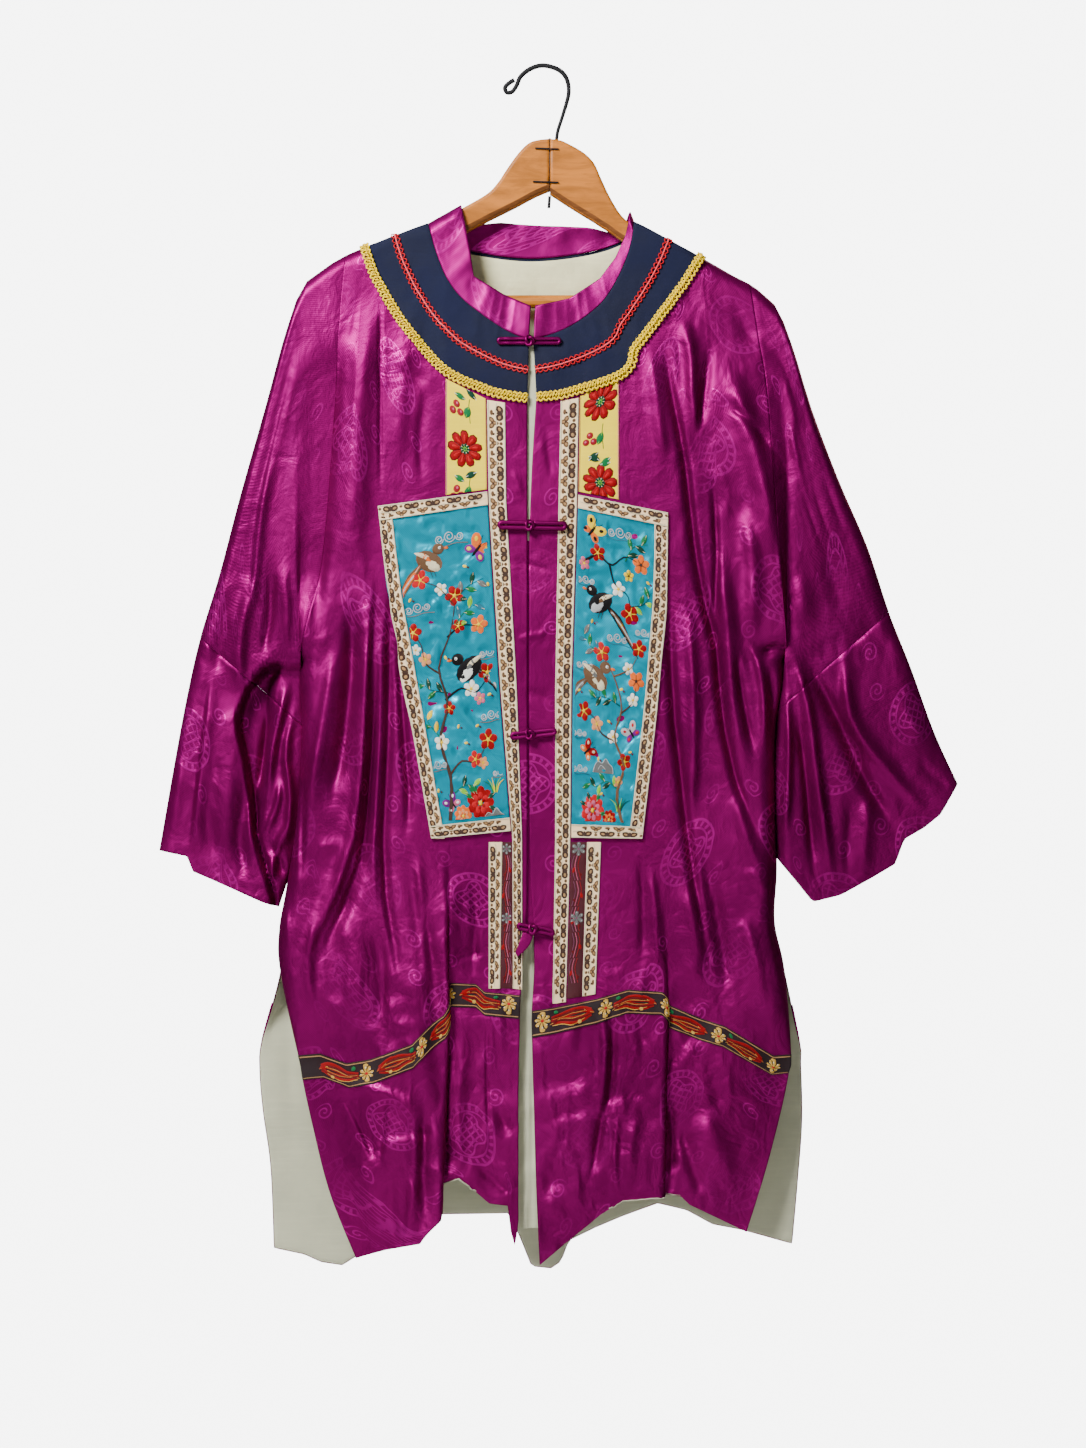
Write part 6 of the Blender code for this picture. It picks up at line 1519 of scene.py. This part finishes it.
def embroider(side):
    marks = Stitches()
    for draw, *facts in DESIGN[side]:
        draw(marks, *facts)
    rows = np.array(PANEL[side], float)
    height = rows[-1, 0] - rows[0, 0]

    def place(a, b, h):
        s = np.clip(b / height + 0.5, 0.05, 0.95)
        wide = np.abs(np.interp(rows[0, 0] + height * s, rows[:, 0], rows[:, 3] - rows[:, 1]))
        usable = (wide - BORDER) / wide
        reach = mix(1.02, 0.74, s) * (1.0 if side == "left" else 0.9)
        w = np.clip(usable * 0.5 + OUT[side] * a * reach / wide, 0.03, usable - 0.01)
        across, drop = panel_places(side, s, w)
        return front_points(side, across, drop, 1.45 + pucker(across, drop) + h)

    marks.build("panel_embroidery_" + side, place, "turquoise")


for side in SIDES:
    embroider(side)


# Hem bands

def hem_flower(marks, s):
    for turn in circle(8):
        marks.petal(s, 0.0, 1.2, 6.0, 2.8, turn + 0.2, "gold", 0.45)
        marks.oval(*away(s, 0.0, 5.6, turn), 0.7, 0.7, 0.0, "cream", 0.7, n=6)
    marks.oval(s, 0.0, 1.7, 1.7, 0.0, "bright red", 0.8, n=8)
    for edge in (-1.0, 1.0):
        marks.oval(s, edge * 7.0, 2.6, 1.0, 0.0, "gold", 0.4, n=7)


def hem_scroll(marks, s):
    for j in range(6):
        w, bow = -6.2 + 2.5 * j, 2.6 if j < 3 else -2.2
        first, second = w * 0.9 + bow * 0.6, w * 0.9 - bow * 0.2
        marks.line([(s + 14, w * 0.45 + 1.0), (s + 23, first), (s + 33, second), (s + 43, w * 0.75 - bow * 0.5),
                    (s + 51, w * 0.5)], 2.0, "dark red" if j % 3 == 1 else "red", 0.4)
        if j % 2:
            points = [(s + 15, w * 0.5 + 2.2), (s + 24, first + 1.2), (s + 34, second + 1.2), (s + 45, w * 0.7)]
            marks.line(points, 0.5, "gold", 0.5)
    marks.leaf(s + 44, -4.0, 11.0, 5.0, 0.5, "red", "gold")
    marks.leaf(s + 13, 4.5, 10.0, 4.0, -0.4, "dark red", "gold")
    marks.oval(s + 18, -6.2, 2.2, 1.4, 0.2, "green", 0.5, n=7)
    marks.oval(s + 40, 6.2, 2.2, 1.4, 0.0, "gold", 0.5, n=7)


def lay_hem_band(side):
    columns, rows = np.linspace(0.0, 1.0, 150), np.linspace(BAND_TOP_ROW, BAND_LOW_ROW, 9)
    base = front_sheet(side, rows, columns)
    normal = grid_normals(base, (0, -1, 0))
    cloth("hem_ribbon_" + side, base + normal * 0.8, [BLACK], ["hem_band_" + side],
          thickness=0.7, flip=side == "left")
    steps = arc_lengths(base, 1)[4]
    length = steps[-1]

    def split(value, count):
        whole = np.clip(np.floor(value).astype(int), 0, count - 2)
        return whole, (value - whole)[:, None]

    def place(a, b, h):
        i, t = split((b / HEM_BAND_HEIGHT + 0.5) * (len(rows) - 1), len(rows))
        j, q = split(np.interp(a, steps, columns) * (len(columns) - 1), len(columns))

        def sample(grid):
            return mix(mix(grid[i, j], grid[i, j + 1], q), mix(grid[i + 1, j], grid[i + 1, j + 1], q), t)

        return sample(base) + sample(normal) * (h + 0.82)[:, None]

    marks = Stitches()
    for edge in (-8.6, 8.6):
        marks.line([(s, edge) for s in np.linspace(1.0, length - 1.0, 60)], 0.5, "tan", 0.3)
    for k in range(int(length / HEM_PITCH) + 1):
        s = 4.0 + k * HEM_PITCH
        room = min(HEM_PITCH, length - s - 2.0)
        if room > 14.0:
            hem_flower(marks, s + 6.0)
        if room >= 40.0:
            hem_scroll(marks, s)
    marks.build("hem_figures_" + side, place, "black_ribbon")


for side in SIDES:
    lay_hem_band(side)

# Piped edges of the back below the slits

below = int(np.searchsorted(back_places, SLIT_ROW + 0.4))
edge = np.concatenate([BACK[below:, 0], BACK[-1, 1:-1], BACK[below:, -1][::-1]])
tubes("back_edge_piping", [edge], 1.0, SATIN_PLAIN)


# Frogs

def frog_cord(start, start_drop, end, middle, radius, lift):
    """A doubled cord: out along its upper line, round its far end and home along its lower line."""
    sign = 1.0 if end > start else -1.0
    run = np.linspace(end, start + sign * radius, 12)
    turn = np.linspace(-np.pi / 2, np.pi / 2, 9)[1:-1]
    across = np.concatenate([run, start + sign * radius * (1.0 - np.cos(turn)), run[::-1]])
    beside = np.concatenate([np.full(12, -radius), radius * np.sin(turn), np.full(12, radius)])
    drop = mix(start_drop, middle, (across - start) / (end - start))
    return np.stack([across, -front_height(across, drop) - lift, drop + beside], 1)


for number, (left, knot, right, left_drop, right_drop, height, lift, ball_lift) in enumerate(FROGS, 1):
    radius, middle = height / 4.0, mix(left_drop, right_drop, (knot - left) / (right - left))
    for half, start, start_drop, end in (
            ("knot", left, left_drop, knot - 1.0), ("loop", right, right_drop, knot + 3.0)):
        tubes("frog_%d_%s_cord" % (number, half), [frog_cord(start, start_drop, end, middle, radius, lift)],
              radius * 0.95, FROG, ["frog_%d_%s" % (number, half)], sides=8)
    t = np.linspace(0.0, 2.0 * np.pi, 60, endpoint=False)
    reach = 3.4 + 1.1 * np.cos(3 * t)
    y = -float(front_height(np.array(knot), np.array(middle))) - ball_lift
    ball = np.stack([knot + reach * np.cos(2 * t) * 0.85, y + 1.6 * np.sin(3 * t) - 0.6,
                     middle + reach * np.sin(2 * t) * 0.95], 1)
    tubes("frog_%d_ball" % number, [ball], 1.5, FROG, sides=7, closed=True)

# Lower corner of the left front's edge, folded out below the last frog

flap = np.array([(-17.9, 777.6, -13.0, 779.0, -8.4, 780.9), (-21.0, 787.0, -16.5, 787.5, -12.9, 791.1),
                 (-24.7, 796.5, -23.8, 799.0, -22.9, 800.6)])
flap = dense(flap, 9).reshape(9, 3, 2).transpose(1, 0, 2).reshape(3, 18)
flap = dense(flap, 7).reshape(7, 9, 2)
points = np.stack([flap[..., 0], -front_height(flap[..., 0], flap[..., 1]) - 2.6, flap[..., 1]], -1)
cloth("front_corner_flap", points, [SATIN_PLAIN], thickness=1.2)


# Hanger

def board(side):
    """A wooden arm with rounded edges. The dark strip of painted shade along its foot is made apart from it."""
    tops = dense([(across, top) for across, top, low in ARM[side]], 70)
    lows = dense([(across, low) for across, top, low in reversed(ARM[side])], 60)
    curve = bpy.data.curves.new("arm_board_" + side, "CURVE")
    curve.dimensions, curve.fill_mode = "2D", "BOTH"
    spline = curve.splines.new("POLY")
    spline.points.add(len(tops) + len(lows) - 1)
    for corner, (across, drop) in zip(spline.points, np.vstack([tops, lows])):
        corner.co = (across / 1000.0, -drop / 1000.0, 0.0, 1.0)
    spline.use_cyclic_u = True
    curve.extrude, curve.bevel_depth, curve.bevel_resolution, curve.offset = 0.0042, 0.0028, 4, -0.0028
    curve.materials.append(WOOD)
    thing = link("arm_board_" + side, curve)
    thing.rotation_euler = (math.radians(90.0), 0.0, 0.0)
    bpy.context.view_layer.update()
    finish_piece(thing, ["hanger_arm_" + side])


# A strip in a darker wood colour just in front of each arm's foot: painted shade standing in for the shaded
# underside of the board.
def painted_foot_shade(side):
    lows = dense([(across, low) for across, _, low in ARM[side]], 60)
    rows = [np.stack([lows[:, 0], np.full(60, depth), lows[:, 1] - rise], 1)
            for rise, depth in ((0.1, -4.4), (1.6, -6.9), (6.0, -7.2))]
    finish_piece(make_piece("arm_foot_painted_shade_" + side, scene_points(rows), grid_faces(3, 60), [WOOD_PAINTED_SHADE]))


for side in SIDES:
    board(side)
for side in SIDES:
    painted_foot_shade(side)
tubes("arm_joint", [[(6.0, -4.6, 64.6), (6.0, -4.6, 113.0)]], 1.1, WOOD_JOINT)
line = dense([(across, 0.0, drop) for across, drop in HOOK_WIRE], 130)
tubes("hook_wire", [line], np.interp(line[:, 2], [5.0, 50.0], [2.2, 1.7]), WIRE, ["hook"], sides=10)
for node, paint in (("trouser_bar", WOOD), ("hook_end", WIRE), ("staple_1", WIRE), ("staple_2", WIRE)):
    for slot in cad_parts[node].material_slots:
        slot.material = paint


# Stage, light and camera

def plane(name, corners, paint):
    piece = make_piece(name, np.array(corners, float), [(0, 1, 2, 3)], [paint], smooth=False)
    return piece


def aimed(thing, spot, aim):
    thing.location = spot
    thing.rotation_euler = (Vector(aim) - Vector(spot)).to_track_quat("-Z", "Y").to_euler()


def area_light(name, spot, aim, size, power):
    lamp = bpy.data.lights.new(name, "AREA")
    lamp.shape, lamp.size, lamp.energy = "DISK", size, power
    aimed(link(name, lamp), spot, aim)


wall_paint = Paint("studio_wall", (0.90, 0.90, 0.905), 0.9, specular=0.1)
wall_paint.set({"Emission Color": (1.0, 1.0, 1.0), "Emission Strength": 6.5})
corners = [(x * WALL_REACH, WALL_Y, z * WALL_REACH) for x, z in ((-1, -1), (1, -1), (1, 1), (-1, 1))]
wall = plane("backdrop", corners, wall_paint.material)
wall.visible_diffuse = False
wall.visible_glossy = False
wall.visible_transmission = False
wall.visible_shadow = False
floor_paint = Paint("studio_floor", (0.86, 0.86, 0.86), 0.9)
corners = [(-FLOOR_REACH, -FLOOR_REACH, FLOOR_Z), (FLOOR_REACH, -FLOOR_REACH, FLOOR_Z),
           (FLOOR_REACH, FLOOR_END, FLOOR_Z), (-FLOOR_REACH, FLOOR_END, FLOOR_Z)]
plane("floor", corners, floor_paint.material)

world = bpy.data.worlds.new("studio")
world.use_nodes = True
background = world.node_tree.nodes["Background"]
background.inputs["Color"].default_value = (1.0, 1.0, 1.0, 1.0)
background.inputs["Strength"].default_value = 0.11
bpy.context.scene.world = world
area_light("key", (-1.0, -1.4, 0.8), (0.0, 0.0, -0.45), 0.8, 118.0)
area_light("fill", (0.35, -3.6, -0.4), (0.0, 0.0, -0.6), 1.2, 10.0)
area_light("behind", (1.2, 2.6, 0.5), (0.0, 0.0, -0.55), 1.4, 26.0)

camera = bpy.data.cameras.new("camera")
camera.sensor_fit = "AUTO"
camera.sensor_width = SENSOR
camera.lens = SENSOR * (DISTANCE + FACE) / VIEW_HEIGHT
thing = link("camera", camera)
thing.location = (0.0, -DISTANCE, VIEW_MIDDLE)
thing.rotation_euler = (math.radians(90.0), 0.0, 0.0)
bpy.context.scene.camera = thing
